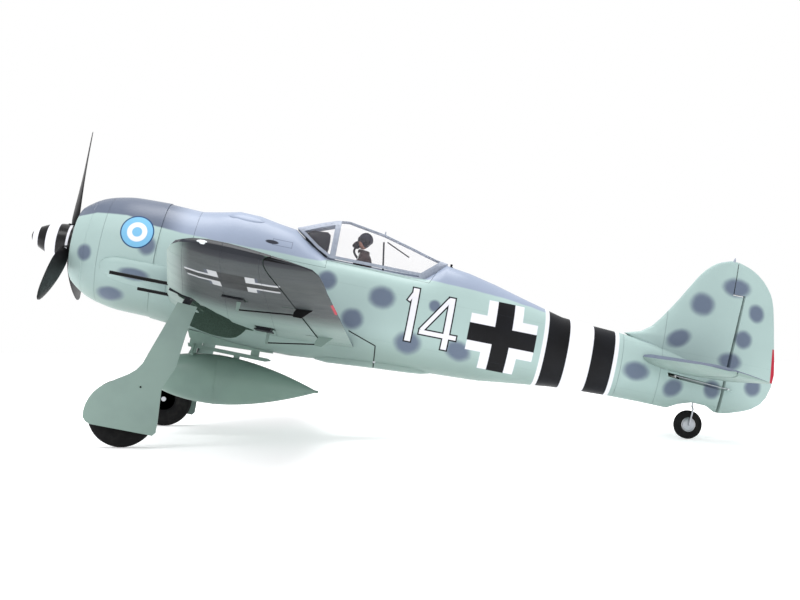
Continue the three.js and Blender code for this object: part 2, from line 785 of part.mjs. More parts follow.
function stabilizer() {
  const behindHinge = box([ELEVATOR.x - COVE, 1300], [-300, -ELEVATOR.inner + 1], [-60, 60]);
  const beyond = box([ELEVATOR.x - COVE, 1300], [-ELEVATOR.inner, 0], [-60, 60]);
  return cut(stabilizerBody, behindHinge, beyond, inflated, joinerHole);
}

function elevator() {
  const region = placed(swingRegion(27, 27, 30, [-300, -ELEVATOR.inner]), ELEVATOR_FRAME);
  const half = common(stabilizerBody, region);
  const { y, drop } = ELEVATOR_LINK;
  const horn = outline([
    [4.5, -5],
    [18, -4],
    [6, -drop - 3],
    [-2.6, -drop - 3],
    [-2.6, -drop + 1.5],
  ]);
  const hornPlate = placed(slab(horn, [y - HORN_HALF, y + HORN_HALF]), ELEVATOR_FRAME);
  const reach = ELEVATOR.inner + 4;
  const joiner = rod(at(ELEVATOR.x, -reach, ELEVATOR.z), at(ELEVATOR.x, reach, ELEVATOR.z), 2);
  return join(half, mirrored(half), hornPlate, joiner);
}

// ---------------------------------------------------------------- wing panel
const unitPocket = () =>
  join(
    box([-19, 19], [-46, -15.5], [-45, 15]),
    box([-15.5, 15.5], [-20, 6], [-45, 6]),
  );

// Room in the lower skin for a horn that swings forward.
const hornSlot = ({ y }) => box([-20, 0], [y - HORN_HALF - 0.8, y + HORN_HALF + 0.8], [-40, -1.5]);

function wingPanel() {
  const cove = roundNosed([AILERON_RANGE[0], FLAP_RANGE[1] + 0.6], COVE);
  const swings = [
    ...[-24, -18, -12, -6].map((degrees) => swung(AILERON_RANGE, degrees)),
    ...[36, 47].map((degrees) => swung(FLAP_RANGE, degrees)),
  ];
  const pockets = Object.values(WING_LINKS).map((link) =>
    placed(join(wingServoPocket(link), hornSlot(link)), WING_FRAME),
  );
  const unit = placed(unitPocket(), UNIT_FRAME);
  const guns = [rootGun(GAP), outerGun(GAP)];
  const moving = [placed(cove, WING_FRAME), ...swings];
  return cut(wingBody, inflated, ...moving, ...pockets, wells, unit, sparHole, ...guns);
}

const controlSurface = (range, link) =>
  join(common(wingBody, placed(roundNosed(range, 0), WING_FRAME)), placed(wingHorn(link), WING_FRAME));

// A surface turned about its hinge, slightly wider and further forward than it is, to cut room for it.
function swung([outer, inner], degrees) {
  const still = common(wingBody, placed(roundNosed([outer - 0.6, inner + 0.6], 0.4), WING_FRAME));
  const turn = new THREE.Matrix4().makeRotationY(THREE.MathUtils.degToRad(degrees)).setPosition(-0.6, 0, 0);
  return placed(still, WING_FRAME.clone().multiply(turn).multiply(WING_FRAME.clone().invert()));
}

const gun = (start, length, y, z, radius, clearance) =>
  rod(at(start, y, z), at(start + length + clearance, y, z), radius + clearance, 10);
const rootGun = (clearance) => gun(206, 66, -120, -55.5, 2.6, clearance);
const outerGun = (clearance) => gun(188, 90, -290, -42.5, 2.6, clearance);

// ---------------------------------------------------------------- main gear pieces
const PIN_RADIUS = 2.5;

function gearLeg() {
  const { tube, tubeEnd, bore, rodStart, travel } = OLEO;
  const barrel = placed(rod(at(-9.8, 0, 0), at(9.8, 0, 0), 7, 14), UNIT_FRAME);
  const body = placed(rod(at(0, 0, -3), at(0, 0, -tubeEnd), tube, 14), LEG_FRAME);
  const boreTool = rod(at(0, 0, -(rodStart - travel - 2)), at(0, 0, -tubeEnd - 5), bore, 12);
  const pinHole = placed(rod(at(-20, 0, 0), at(20, 0, 0), PIN_RADIUS + GAP, 10), UNIT_FRAME);
  return cut(join(barrel, body), placed(boreTool, LEG_FRAME), pinHole);
}

function slidingLeg() {
  const { rod: radius, rodStart } = OLEO;
  const tube = rod(at(0, 0, -rodStart), at(0, 0, -LEG_LENGTH), radius, 12);
  const foot = rod(at(0, 0, -LEG_LENGTH + 9), at(0, 0, -LEG_LENGTH - 7), 5.5, 12);
  const reach = WHEEL_OFFSET + WHEEL_HALF_WIDTH;
  const axle = rod(at(0, 0, -LEG_LENGTH), at(0, reach + 3, -LEG_LENGTH), 2.5, 10);
  const collar = rod(at(0, reach + 0.5, -LEG_LENGTH), at(0, reach + 4, -LEG_LENGTH), 4.5, 10);
  return placed(join(tube, foot, axle, collar), LEG_FRAME);
}

function gearDoor() {
  const plate = slab(outline(DOOR_OUTLINE), [
    PIVOT.y - DOOR_OFFSET - DOOR_THICKNESS,
    PIVOT.y - DOOR_OFFSET,
  ]);
  const pads = [-28, -88].map((z) =>
    placed(box([-5, 5], [-DOOR_OFFSET - 0.5, -OLEO.tube - GAP], [z - 7, z + 7]), LEG_FRAME),
  );
  return join(plate, ...pads);
}

function retractUnit() {
  const pin = rod(at(-14, 0, 0), at(14, 0, 0), PIN_RADIUS, 10);
  const cheeks = [-1, 1].map((side) => {
    const range = [10.4 * side, 14.5 * side].sort((a, b) => a - b);
    return box(range, [-18, 5], [-5, 5]);
  });
  const body = box([-18, 18], [-45, -16], [-5, 14]);
  return join(pin, ...cheeks, body);
}

// A tyre on its hub as [across, radius], turned about its axle.
function wheel(radius, half, bore, sides) {
  const shoulder = half * 0.75;
  const profile = [
    [-half, bore],
    [-half, radius * 0.78],
    [-shoulder, radius - 3],
    [-half * 0.4, radius],
    [half * 0.4, radius],
    [shoulder, radius - 3],
    [half, radius * 0.78],
    [half, bore],
    [-half, bore],
  ];
  return turned(profile, sides).rotateZ(Math.PI / 2);
}

// ---------------------------------------------------------------- nose
function cowling() {
  const profile = [
    [COWL_FRONT + 1.5, COWL_LIP_RADIUS],
    [COWL_FRONT, COWL_LIP_RADIUS + 4],
    [COWL_FRONT + 4.5, 63.5],
    [90, 71],
    [104, 80],
    [120, 86.5],
    [140, 91.5],
    [165, 95],
    [COWL_REAR, 96.5],
    [COWL_REAR, 93.5],
    [140, 88],
    [106, 77],
    [86, 60],
    [COWL_FRONT + 1.5, COWL_LIP_RADIUS],
  ];
  return turned(profile, 44);
}

const SPINNER_PROFILE = [
  [0, 0],
  [1.5, 6],
  [6, 11.5],
  [14, 17.2],
  [28, 23.6],
  [46, 28.4],
  [62, 30.2],
  [SPINNER_LENGTH, SPINNER_RADIUS],
];

function bladeRoots(clearance) {
  return Array.from({ length: BLADES }, (_, k) => {
    const slot = rod(at(PROP_X, 0, 8), at(PROP_X, 0, 60), 8.5 + clearance, 8);
    return slot.rotateX(PROP_START + (2 * Math.PI * k) / BLADES);
  });
}

function spinner() {
  const inner = SPINNER_PROFILE.slice(1).map(([x, radius]) => [x + 1.5, radius - 2]);
  const shell = turned([...SPINNER_PROFILE, ...inner.reverse(), [5, 0]], 28);
  return cut(shell, ...bladeRoots(0.5));
}

// [distance from the hub, chord, thickness]
const BLADE_STATIONS = [
  [9, 12, 9],
  [24, 14, 8],
  [40, 22, 6.5],
  [62, 31, 5],
  [92, 37, 4],
  [125, 36, 3],
  [155, 29, 2.4],
  [177, 19, 1.8],
  [PROP_RADIUS, 7, 1.2],
];

function blade() {
  const count = 8;
  return loft(
    BLADE_STATIONS.map(([reach, chord, thickness]) => {
      const slope = Math.atan2(BLADE_PITCH, 2 * Math.PI * Math.max(reach, 38));
      return Array.from({ length: count }, (_, k) => {
        const angle = (2 * Math.PI * k) / count;
        const along = (chord / 2) * Math.cos(angle);
        const across = (thickness / 2) * Math.sin(angle);
        const x = PROP_X - along * Math.sin(slope) + across * Math.cos(slope);
        return at(x, along * Math.cos(slope) + across * Math.sin(slope), reach);
      });
    }),
  );
}

function propeller() {
  const hub = rod(at(PROP_X - 10, 0, 0), at(PROP_X + 8, 0, 0), 13, 18);
  const one = blade();
  const blades = Array.from({ length: BLADES }, (_, k) =>
    one.clone().rotateX(PROP_START + (2 * Math.PI * k) / BLADES),
  );
  return cut(join(hub, ...blades), rod(at(40, 0, 0), at(90, 0, 0), 3 + GAP, 12));
}

const BELL = { front: 92, rear: 124, outer: 25, inner: 22.6 };

function motorBell() {
  const cup = turned(
    [
      [BELL.front, 0],
      [BELL.front, BELL.outer - 3],
      [BELL.front + 3, BELL.outer],
      [BELL.rear, BELL.outer],
      [BELL.rear, BELL.inner],
      [BELL.front + 3, BELL.inner],
      [BELL.front + 3, 0],
    ],
    18,
  );
  return join(cup, rod(at(46, 0, 0), at(BELL.rear + 4, 0, 0), 3, 12));
}

function motorStator() {
  const core = rod(at(BELL.front + 4, 0, 0), at(BELL.rear + 3, 0, 0), BELL.inner - 1, 18);
  const base = rod(at(BELL.rear + 1, 0, 0), at(BELL.rear + 6, 0, 0), 23.5, 18);
  return cut(join(core, base), rod(at(80, 0, 0), at(140, 0, 0), 3.8, 12));
}

function motorMount() {
  const front = box([BELL.rear + 6.4, BELL.rear + 10.4], [-27, 27], [-27, 27]);
  const rear = box([COWL_REAR - 4, COWL_REAR], [-46, 46], [-46, 46]);
  const posts = [-1, 1].flatMap((y) =>
    [-1, 1].map((z) => rod(at(BELL.rear + 8, 20 * y, 20 * z), at(COWL_REAR - 2, 20 * y, 20 * z), 4, 10)),
  );
  return cut(join(front, rear, ...posts), rod(at(120, 0, 0), at(190, 0, 0), 7, 14));
}

// ---------------------------------------------------------------- belly store
const TANK = { nose: at(227, 0, -185.4), tail: at(517, 0, -166), radius: 41.3, widest: 116 };
const TANK_LENGTH = TANK.tail.distanceTo(TANK.nose);

function tankRadius(along) {
  if (along <= TANK.widest) {
    return TANK.radius * Math.sqrt(1 - ((TANK.widest - along) / TANK.widest) ** 2);
  }
  const share = (along - TANK.widest) / (TANK_LENGTH - TANK.widest);
  return Math.max(TANK.radius * (1 - share ** 1.75), 2.2);
}

function dropTank() {
  const steps = [0, 3, 10, 25, 50, 82, TANK.widest, 151, 186, 221, 256, TANK_LENGTH];
  const profile = steps.map((along) => [along, tankRadius(along)]);
  const lean = Math.asin((TANK.tail.z - TANK.nose.z) / TANK_LENGTH);
  return turned([...profile, [TANK_LENGTH, 0]], 28)
    .rotateY(-lean)
    .translate(TANK.nose.x, 0, TANK.nose.z);
}

function tankRack(tank) {
  const fairing = slab(
    outline([
      [284, -104],
      [430, -111],
      [430, -117],
      [306, -122.5],
      [290, -117],
    ]),
    [-13, 13],
  );
  const rail = slab(
    outline([
      [288, -126],
      [424, -127],
      [430, -130],
      [420, -133],
      [290, -132],
    ]),
    [-5, 5],
  );
  const frontPost = box([291, 312], [-6, 6], [-130, -115]);
  const rearStrut = box([394, 408], [-3, 3], [-131, -110]);
  const feet = [300, 372].map((x) => box([x - 5, x + 5], [-4, 4], [-142, -129]));
  const braces = [-1, 1].map((side) => rod(at(300, 0, -122), at(300, 25 * side, -143), 2.2, 8));
  const grownTank = tank.clone().translate(0, 0, GAP + 0.2);
  return cut(join(fairing, rail, frontPost, rearStrut, ...feet, ...braces), inflated, grownTank, tank);
}

// ---------------------------------------------------------------- tail wheel
function tailWheelLeg() {
  const side = -(TAIL_WHEEL.halfWidth + 3);
  const { pivotX, x, z } = TAIL_WHEEL;
  const points = [at(pivotX, 0, -69), at(pivotX, side, -74), at(x, side, z)];
  return join(
    rod(at(pivotX, 0, -42), points[0], 1.5, 6),
    rod(points[0], points[1], 1.5, 6),
    rod(points[1], points[2], 1.5, 6),
    rod(points[2], at(x, TAIL_WHEEL.halfWidth + 2.5, z), 1.5, 6),
    rod(at(x, TAIL_WHEEL.halfWidth + 0.5, z), at(x, TAIL_WHEEL.halfWidth + 3, z), 3, 8),
    ...points.map((p) => new THREE.SphereGeometry(1.7, 6, 4).translate(p.x, p.y, p.z)),
  );
}

// ---------------------------------------------------------------- the model
add("fuselage", fuselage(), PAINT_SIDE);
add("hatch_deck", hatchDeck(), PAINT_TOP);
add("canopy_glass", canopyGlass(), GLASS);
add("pilot_figure", pilotFigure(), FIGURE);

add("cowling", cowling(), PAINT_SIDE);
add("spinner", spinner(), BLACK_PLASTIC);
add("propeller", propeller(), BLACK_PLASTIC);
add("motor_bell", motorBell(), STEEL);
add("motor_stator", motorStator(), STEEL);
add("motor_mount", motorMount(), PLYWOOD);
add("flight_battery", box([232, 368], [-23, 23], [BAY_FLOOR + GAP, BAY_FLOOR + 41]), BATTERY_WRAP);
add("speed_controller", box([392, 462], [-17, 17], [BAY_FLOOR + GAP, BAY_FLOOR + 16]), SERVO_CASE);
add("receiver", box([510, 552], [-13, 13], [BAY_FLOOR + GAP, BAY_FLOOR + 14]), SERVO_CASE);

const spar = rod(at(SPAR.x, -SPAR.half, SPAR.z), at(SPAR.x, SPAR.half, SPAR.z), SPAR.radius, 16);
const sparBore = rod(at(SPAR.x, -SPAR.half - 2, SPAR.z), at(SPAR.x, SPAR.half + 2, SPAR.z), SPAR.radius - 1.5, 12);
add("wing_spar_tube", cut(spar, sparBore), CARBON);

addPair("wing", wingPanel(), PAINT_UNDER);
addPair("aileron", controlSurface(AILERON_RANGE, WING_LINKS.aileron), PAINT_UNDER);
addPair("flap", controlSurface(FLAP_RANGE, WING_LINKS.flap), PAINT_UNDER);
for (const [name, link] of Object.entries(WING_LINKS)) {
  const { x, y, z, drop } = link;
  const armFrame = WING_FRAME.clone().multiply(new THREE.Matrix4().makeTranslation(x, y, z));
  const from = at(x, y + ROD_SHIFT, z - drop);
  addPair(`${name}_servo`, wingServo(link), SERVO_CASE, WING_FRAME);
  addPair(`${name}_servo_arm`, lever(drop, 3.2, 2.2), WHITE_PAINT, armFrame);
  addPair(`${name}_pushrod`, linkRod(from, at(0, y + ROD_SHIFT, -drop), Y), STEEL, WING_FRAME);
}
addPair("root_cannon", rootGun(0), BLACK_PLASTIC);
addPair("outer_cannon", outerGun(0), BLACK_PLASTIC);

addPair("retract_unit", retractUnit(), SERVO_CASE, UNIT_FRAME);
addPair("gear_leg", gearLeg(), STEEL);
addPair("sliding_leg", slidingLeg(), STEEL);
addPair("gear_door", gearDoor(), PAINT_UNDER);
addPair(
  "wheel",
  wheel(WHEEL_RADIUS, WHEEL_HALF_WIDTH, 2.5 + GAP, 30),
  RUBBER,
  new THREE.Matrix4().makeTranslation(AXLE.x, AXLE.y + WHEEL_OFFSET, AXLE.z),
);

addPair("stabilizer", stabilizer(), PAINT_UNDER);
add("elevator", elevator(), PAINT_UNDER);
add("rudder", rudder(), PAINT_SIDE);

{
  const { x, tipX, tipY } = RUDDER_LINK;
  const reach = Math.hypot(tipX, tipY);
  const turn = new THREE.Matrix4().makeRotationZ(Math.atan2(tipX, -tipY));
  const flat = lever(reach, 3.2, 2.2).rotateX(-Math.PI / 2).applyMatrix4(turn);
  const body = join(
    box([x - 17, x + 6], [-6, 6], [-26, -ARM_HALF - 1.5]),
    rod(at(x, 0, -3), at(x, 0, -ARM_HALF - 0.3), 2.6),
  );
  const rise = HORN_HALF + 0.6;
  add("rudder_servo", body, SERVO_CASE, RUDDER_FRAME);
  add("rudder_servo_arm", flat.translate(x, 0, 0), WHITE_PAINT, RUDDER_FRAME);
  add("rudder_pushrod", linkRod(at(x + tipX, tipY, rise + 0.4), at(tipX, tipY, rise + 0.4), Z), STEEL, RUDDER_FRAME);
}
{
  const { x, y, z, drop } = ELEVATOR_LINK;
  const body = join(
    box([x - 17, x + 6], [-1.5, 23], [z - 6, z + 6]),
    rod(at(x, 20, z), at(x, y - ARM_HALF - 0.3, z), 2.6),
  );
  const rodY = y + ROD_SHIFT + 0.2;
  add("elevator_servo", body, SERVO_CASE, ELEVATOR_FRAME);
  add("elevator_servo_arm", lever(drop, 3.2, 2.2).translate(x, y, z), WHITE_PAINT, ELEVATOR_FRAME);
  add("elevator_pushrod", linkRod(at(x, rodY, z - drop), at(0, rodY, -drop), Y), STEEL, ELEVATOR_FRAME);
}

const tank = dropTank();
add("drop_tank", tank, PAINT_UNDER);
add("tank_rack", tankRack(tank), PAINT_UNDER);

add("tail_wheel_leg", tailWheelLeg(), STEEL);
add(
  "tail_wheel",
  wheel(TAIL_WHEEL.radius, TAIL_WHEEL.halfWidth, 1.5 + GAP, 24),
  RUBBER,
  new THREE.Matrix4().makeTranslation(TAIL_WHEEL.x, 0, TAIL_WHEEL.z),
);

const model = new THREE.Group();
model.add(airframe);

export default model;
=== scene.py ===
"""The look of a radio-controlled warbird of 1.5 m span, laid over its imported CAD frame.

Lengths in the tables are millimetres of the airframe: aft of the spinner tip, to starboard, and
above the thrust line. craft() turns them into the row frame, where the model stands tail low.
"""

import math

import bpy
import numpy as np
from mathutils import Matrix, Vector
from mathutils.bvhtree import BVHTree


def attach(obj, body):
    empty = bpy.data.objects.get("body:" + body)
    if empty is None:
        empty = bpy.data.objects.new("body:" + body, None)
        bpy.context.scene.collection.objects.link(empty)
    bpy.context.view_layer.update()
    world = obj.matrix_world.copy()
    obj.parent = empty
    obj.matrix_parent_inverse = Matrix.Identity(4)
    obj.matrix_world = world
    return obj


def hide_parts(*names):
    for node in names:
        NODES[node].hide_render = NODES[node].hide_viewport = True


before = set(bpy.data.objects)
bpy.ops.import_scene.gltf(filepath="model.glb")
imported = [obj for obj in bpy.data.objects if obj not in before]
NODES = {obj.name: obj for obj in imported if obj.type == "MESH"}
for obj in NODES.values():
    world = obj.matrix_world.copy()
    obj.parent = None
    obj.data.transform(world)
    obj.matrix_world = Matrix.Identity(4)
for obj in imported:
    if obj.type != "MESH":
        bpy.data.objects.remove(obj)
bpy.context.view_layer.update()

GROUND_ANGLE = math.radians(10.42)
THRUST = Vector((-0.629, 0.0, 0.3306))
AFT = Vector((math.cos(GROUND_ANGLE), 0.0, -math.sin(GROUND_ANGLE)))
UP = Vector((math.sin(GROUND_ANGLE), 0.0, math.cos(GROUND_ANGLE)))
SIDES = {"left": -1.0, "right": 1.0}
MM = 0.001
ABEAM = Vector((0.0, 1.0, 0.0))

# [at the root, change with each millimetre of span]
WING_LEAD = (240.0, 0.11)
WING_TRAIL = (564.0, -0.0966)
WING_LEAD_HEIGHT = (-62.0, 0.0675)
WING_TRAIL_HEIGHT = (-86.0, 0.096)
TAIL_LEAD = (1036.0, 0.19)
TAIL_TRAIL = (1203.0, -0.062)


def craft(x, y, z):
    return THRUST + (AFT * x + UP * z + Vector((0.0, y, 0.0))) * MM


def spread(law, span):
    """A measure that changes evenly along the span."""
    return law[0] + law[1] * span


def at(table, x):
    """What the other columns of a table hold at a value of its first column."""
    first, *rest = zip(*table)
    return [float(np.interp(x, first, column)) for column in rest]


def spaced(low, high, count):
    return [float(v) for v in np.linspace(low, high, count)]


def power(value, exponent):
    return math.copysign(abs(value) ** exponent, value)


def circle(count):
    """The cosine and sine of evenly spaced angles."""
    return [(math.cos(math.tau * k / count), math.sin(math.tau * k / count)) for k in range(count)]


# ------------------------------------------------------------------------ colours, linear
def tone(red, green, blue):
    """An sRGB colour of 0 to 255 as linear RGBA."""
    parts = [v / 255 for v in (red, green, blue)]
    linear = [v / 12.92 if v <= 0.04045 else ((v + 0.055) / 1.055) ** 2.4 for v in parts]
    return (*linear, 1.0)


SIDE = tone(162, 184, 181)
DECK = tone(92, 101, 118)
# painted sheen: deck colour aft of the cowl, lighter as if catching the overhead light
DECK_PAINTED_SHEEN = tone(142, 153, 173)
DECK_DARK = tone(66, 72, 86)
# underside colour, darker than SIDE partly as painted shade
BELLY = tone(136, 156, 150)
# painted shade for the outboard underside of the wing
UNDERWING_PAINTED_SHADE = tone(54, 59, 60)
SPOT = tone(98, 110, 128)
STORE = tone(122, 146, 136)
# foam inside wells and cut-outs, dark partly as painted shade of the recesses
WELL_FOAM_AND_SHADE = tone(72, 92, 82)
WHITE = tone(224, 224, 231)
BLACK = tone(6, 6, 9)
RED = tone(170, 36, 56)
BADGE = tone(118, 178, 214)
BADGE_RIM = tone(28, 62, 104)
SHEEN = 0.12
COAT_ROUGHNESS = 0.25


# ------------------------------------------------------------------------ shader arithmetic
class Wire:
    """A number inside a material, which adds nodes as it is reckoned with."""

    def __init__(self, paint, socket):
        self.paint = paint
        self.socket = socket

    def __add__(self, other):
        return self.paint.math("ADD", self, other)

    def __sub__(self, other):
        return self.paint.math("SUBTRACT", self, other)

    def __rsub__(self, other):
        return self.paint.math("SUBTRACT", other, self)

    def __mul__(self, other):
        return self.paint.math("MULTIPLY", self, other)

    def __abs__(self):
        return self.paint.math("ABSOLUTE", self)

    __radd__ = __add__
    __rmul__ = __mul__

    def least(self, other):
        return self.paint.math("MINIMUM", self, other)

    def most(self, other):
        return self.paint.math("MAXIMUM", self, other)

    def step(self, low, high):
        """0 up to low, 1 from high, smooth between; low may be the greater."""
        return self.paint.ramp(self, low, high)


class Paint:
    """A procedural material, built from values of the airframe's own coordinates."""

    def __init__(self, name):
        self.material = bpy.data.materials.new(name)
        self.material.use_nodes = True
        self.tree = self.material.node_tree
        self.tree.nodes.clear()
        self.shader = self.add("ShaderNodeBsdfPrincipled")
        output = self.add("ShaderNodeOutputMaterial")
        self.tree.links.new(self.shader.outputs[0], output.inputs["Surface"])
        self.coordinates = self.add("ShaderNodeTexCoord")

    def add(self, kind):
        return self.tree.nodes.new(kind)

    def put(self, value, socket):
        if isinstance(value, Wire):
            value = value.socket
        if isinstance(value, bpy.types.NodeSocket):
            self.tree.links.new(value, socket)
        else:
            socket.default_value = value

    def math(self, operation, *values):
        node = self.add("ShaderNodeMath")
        node.operation = operation
        for value, socket in zip(values, node.inputs):
            self.put(value, socket)
        return Wire(self, node.outputs[0])

    def ramp(self, value, low, high):
        rising = low < high
        node = self.add("ShaderNodeMapRange")
        node.interpolation_type = "SMOOTHSTEP"
        settings = (min(low, high), max(low, high), float(not rising), float(rising))
        self.put(value, node.inputs["Value"])
        for name, setting in zip(("From Min", "From Max", "To Min", "To Max"), settings):
            node.inputs[name].default_value = setting
        return Wire(self, node.outputs[0])

    def along(self, vector, direction, scale):
        node = self.add("ShaderNodeVectorMath")
        node.operation = "DOT_PRODUCT"
        self.put(vector, node.inputs[0])
        node.inputs[1].default_value = direction * scale
        return Wire(self, node.outputs["Value"])

    def place(self):
        """x aft, y to starboard and z above the thrust line, in millimetres."""
        node = self.add("ShaderNodeVectorMath")
        node.operation = "SUBTRACT"
        self.put(self.coordinates.outputs["Object"], node.inputs[0])
        node.inputs[1].default_value = THRUST
        axes = (AFT, ABEAM, UP)
        return [self.along(node.outputs[0], axis, 1000.0) for axis in axes]

    def facing(self, direction):
        return self.along(self.coordinates.outputs["Normal"], direction, 1.0)

    def sideways(self):
        """1 on surfaces that face to either side."""
        return abs(self.facing(ABEAM)).step(0.25, 0.4)

    def noise(self, scale, detail=2.0, stretch=(1.0, 1.0, 1.0)):
        mapping = self.add("ShaderNodeMapping")
        mapping.inputs["Scale"].default_value = stretch
        self.put(self.coordinates.outputs["Object"], mapping.inputs["Vector"])
        node = self.add("ShaderNodeTexNoise")
        node.inputs["Scale"].default_value = scale
        node.inputs["Detail"].default_value = detail
        self.put(mapping.outputs[0], node.inputs["Vector"])
        return Wire(self, node.outputs[0])

    def mix(self, mask, under, over):
        node = self.add("ShaderNodeMix")
        node.data_type = "RGBA"
        colours = [socket for socket in node.inputs if socket.type == "RGBA"]
        self.put(mask, node.inputs[0])
        self.put(under, colours[0])
        self.put(over, colours[1])
        return [socket for socket in node.outputs if socket.type == "RGBA"][0]

    def finish(self, colour, roughness, height=None, depth=0.0002, metallic=0.0, coat=0.0):
        self.put(colour, self.shader.inputs["Base Color"])
        self.put(roughness, self.shader.inputs["Roughness"])
        self.shader.inputs["Metallic"].default_value = metallic
        self.shader.inputs["Specular IOR Level"].default_value = SHEEN
        self.shader.inputs["Coat Weight"].default_value = coat
        self.shader.inputs["Coat Roughness"].default_value = COAT_ROUGHNESS
        if height is not None:
            bump = self.add("ShaderNodeBump")
            bump.inputs["Distance"].default_value = depth
            bump.inputs["Strength"].default_value = 1.0
            self.put(height, bump.inputs["Height"])
            self.put(bump.outputs[0], self.shader.inputs["Normal"])
        return self.material


def inside(distance, soft=0.5):
    """1 where a distance in millimetres is below zero."""
    return distance.step(soft, -soft)


def bar(u, v, start, end, half):
    """Distance to a square-ended bar from start to end."""
    du, dv = end[0] - start[0], end[1] - start[1]
    length = math.hypot(du, dv)
    du, dv = du / length, dv / length
    run = u * du + v * dv - (start[0] * du + start[1] * dv + length / 2)
    across = u * dv - v * du - (start[0] * dv - start[1] * du)
    return (abs(run) - length / 2).most(abs(across) - half)


def plus_shape(u, v, reach, half):
    return (abs(u) - reach).most(abs(v) - half).least((abs(u) - half).most(abs(v) - reach))


def union(shapes):
    whole = shapes[0]
    for shape in shapes[1:]:
        whole = whole.least(shape)
    return whole


def polyline(value, points):
    """A height that follows straight runs between (distance, height) points."""
    height = points[0][1]
    for (a, low), (b, high) in zip(points, points[1:]):
        share = value.paint.math("MULTIPLY_ADD", value, 1 / (b - a), -a / (b - a))
        share = share.most(0.0).least(1.0)
        height = share * (high - low) + height
    return height


def lines(value, marks):
    """1 on thin lines where value meets one of the marks."""
    return inside(union([abs(value - mark) for mark in marks]) - 0.35, 0.25)


# ------------------------------------------------------------------------ painted foam
DECK_EDGE = [
    (70, 40),
    (110, 54),
    (160, 57),
    (212, 50),
    (250, 47),
    (300, 45),
    (400, 46),
    (480, 48),
    (492, 53),
    (662, 52),
    (740, 51),
    (800, 47),
    (866, 38),
]
# [aft, up, half length, half height, lean in degrees]
SPOTS = [
    (105, -14, 10, 11, 0),
    (203, 15, 12, 13, 0),
    (192, -34, 20, 8, 0),
    (155, -71, 18, 9, 5),
    (496, 18, 13, 13, 0),
    (589, 8, 18, 15, 0),
    (548, -36, 15, 14, 0),
    (645, -57, 18, 15, 0),
    (677, 11, 8, 8, 0),
    (729, -54, 18, 13, -15),
    (1034, -29, 19, 13, 0),
    (1131, 105, 17, 16, 0),
    (1100, 40, 18, 12, 30),
    (1185, 144, 20, 13, 0),
    (1227, 107, 11, 13, 30),
    (1212, 59, 12, 13, 30),
    (1195, 18, 17, 12, 0),
    (1103, -45, 15, 12, 35),
    (1172, -35, 12, 13, 0),
    (1243, -18, 12, 13, 0),
]
FLAT_CROSS = (390.0, 612.0)
SIDE_CROSS = (797.0, -18.0)
DIGITS_MIDDLE = 677.0
BAND_MIDDLE = 932.0
BAND_HALF = 66.0
BADGE_PLACE = (183.0, 34.0)
SLOT_PLACE = (396.0, 62.0)
GRIP_PLACE = (413.0, 63.0)
FAIRING_LINE = [(546, -56), (594, -72), (598.5, -108)]
# [reach, half the width of the arms, colour]
SIDE_CROSS_LAYERS = [(57.0, 30.5, WHITE), (57.5, 14.7, BLACK)]
WING_CROSS_LAYERS = [
    (57.5, 31.5, DECK_DARK),
    (57.5, 28.0, tone(176, 178, 180)),
    (58.0, 16.5, tone(14, 14, 16)),
]


def foam_height(paint, seams):
    grain = paint.noise(900.0, 3.0) * 0.55 + paint.noise(140.0, 2.0) * 0.9
    return grain - seams * 3.0


def spots(paint, x, z):
    waver = (paint.noise(70.0, 2.0) - 0.5) * 0.45
    nearest = None
    for aft, up, length, height, lean in SPOTS:
        turn = math.radians(lean)
        du, dv = x - aft, z - up
        run = du * (math.cos(turn) / length) + dv * (math.sin(turn) / length)
        rise = dv * (math.cos(turn) / height) - du * (math.sin(turn) / height)
        reach = run * run + rise * rise
        nearest = reach if nearest is None else nearest.least(reach)
    return (nearest + waver).step(2.3, 0.5)


def number(u, v):
    """A one and a four, as the distance to their strokes."""
    one = [
        bar(u, v, (643.3, -56), (643.3, 36), 7.2),
        bar(u, v, (632.5, 9.5), (643.5, 31.5), 4.6),
    ]
    four = [
        bar(u, v, (704.8, -59), (704.8, 31.5), 7.0),
        bar(u, v, (657.5, -35), (724, -35), 5.8),
        bar(u, v, (661.5, -34), (703, 28), 5.6),
    ]
    return union(one + four)


def side_markings(paint, base, x, y, z):
    """Bands, cross and number, on top of the base colour."""
    colour = base
    sideways = paint.sideways()
    fore = inside(abs(x - SIDE_CROSS[0]) - 75.0)
    u, v = x - SIDE_CROSS[0], z - SIDE_CROSS[1]
    for reach, half, tint in SIDE_CROSS_LAYERS:
        colour = paint.mix(inside(plus_shape(u, v, reach, half)) * sideways * fore, colour, tint)
    starboard = y.step(-1.0, 1.0)
    digits = number(x + starboard * (2 * DIGITS_MIDDLE - 2 * x), z)
    colour = paint.mix(inside(digits) * sideways, colour, BLACK)
    colour = paint.mix(inside(digits + 2.3) * sideways, colour, WHITE)
    off_middle = abs(x - BAND_MIDDLE)
    colour = paint.mix(inside(off_middle - BAND_HALF), colour, WHITE)
    return paint.mix(inside(abs(off_middle - 40.0) - 19.0), colour, BLACK)


def badge(paint, base, x, z):
    u, v = x - BADGE_PLACE[0], z - BADGE_PLACE[1]
    ring = paint.math("SQRT", u * u + v * v)
    sideways = paint.sideways()
    colour = base
    layers = ((ring - 27.0, BADGE_RIM), (ring - 25.0, BADGE), (abs(ring - 12.0) - 4.0, WHITE))
    for distance, tint in layers:
        colour = paint.mix(inside(distance) * sideways, colour, tint)
    return colour


def grip_outline(x, z):
    """Distance to the outline of the grip panel on the hatch."""
    along, up = abs(x - GRIP_PLACE[0]) - 16.0, abs(z - GRIP_PLACE[1]) - 5.0
    return abs(along).most(up).least(abs(up).most(along))


def shaded(paint, colour, seams):
    """Slow variation over the paint, and dirt in the seams."""
    cloud = paint.noise(9.0, 3.0).step(0.3, 0.75) * 0.10
    colour = paint.mix(cloud, colour, DECK_DARK)
    return paint.mix(seams * 0.55, colour, DECK_DARK)


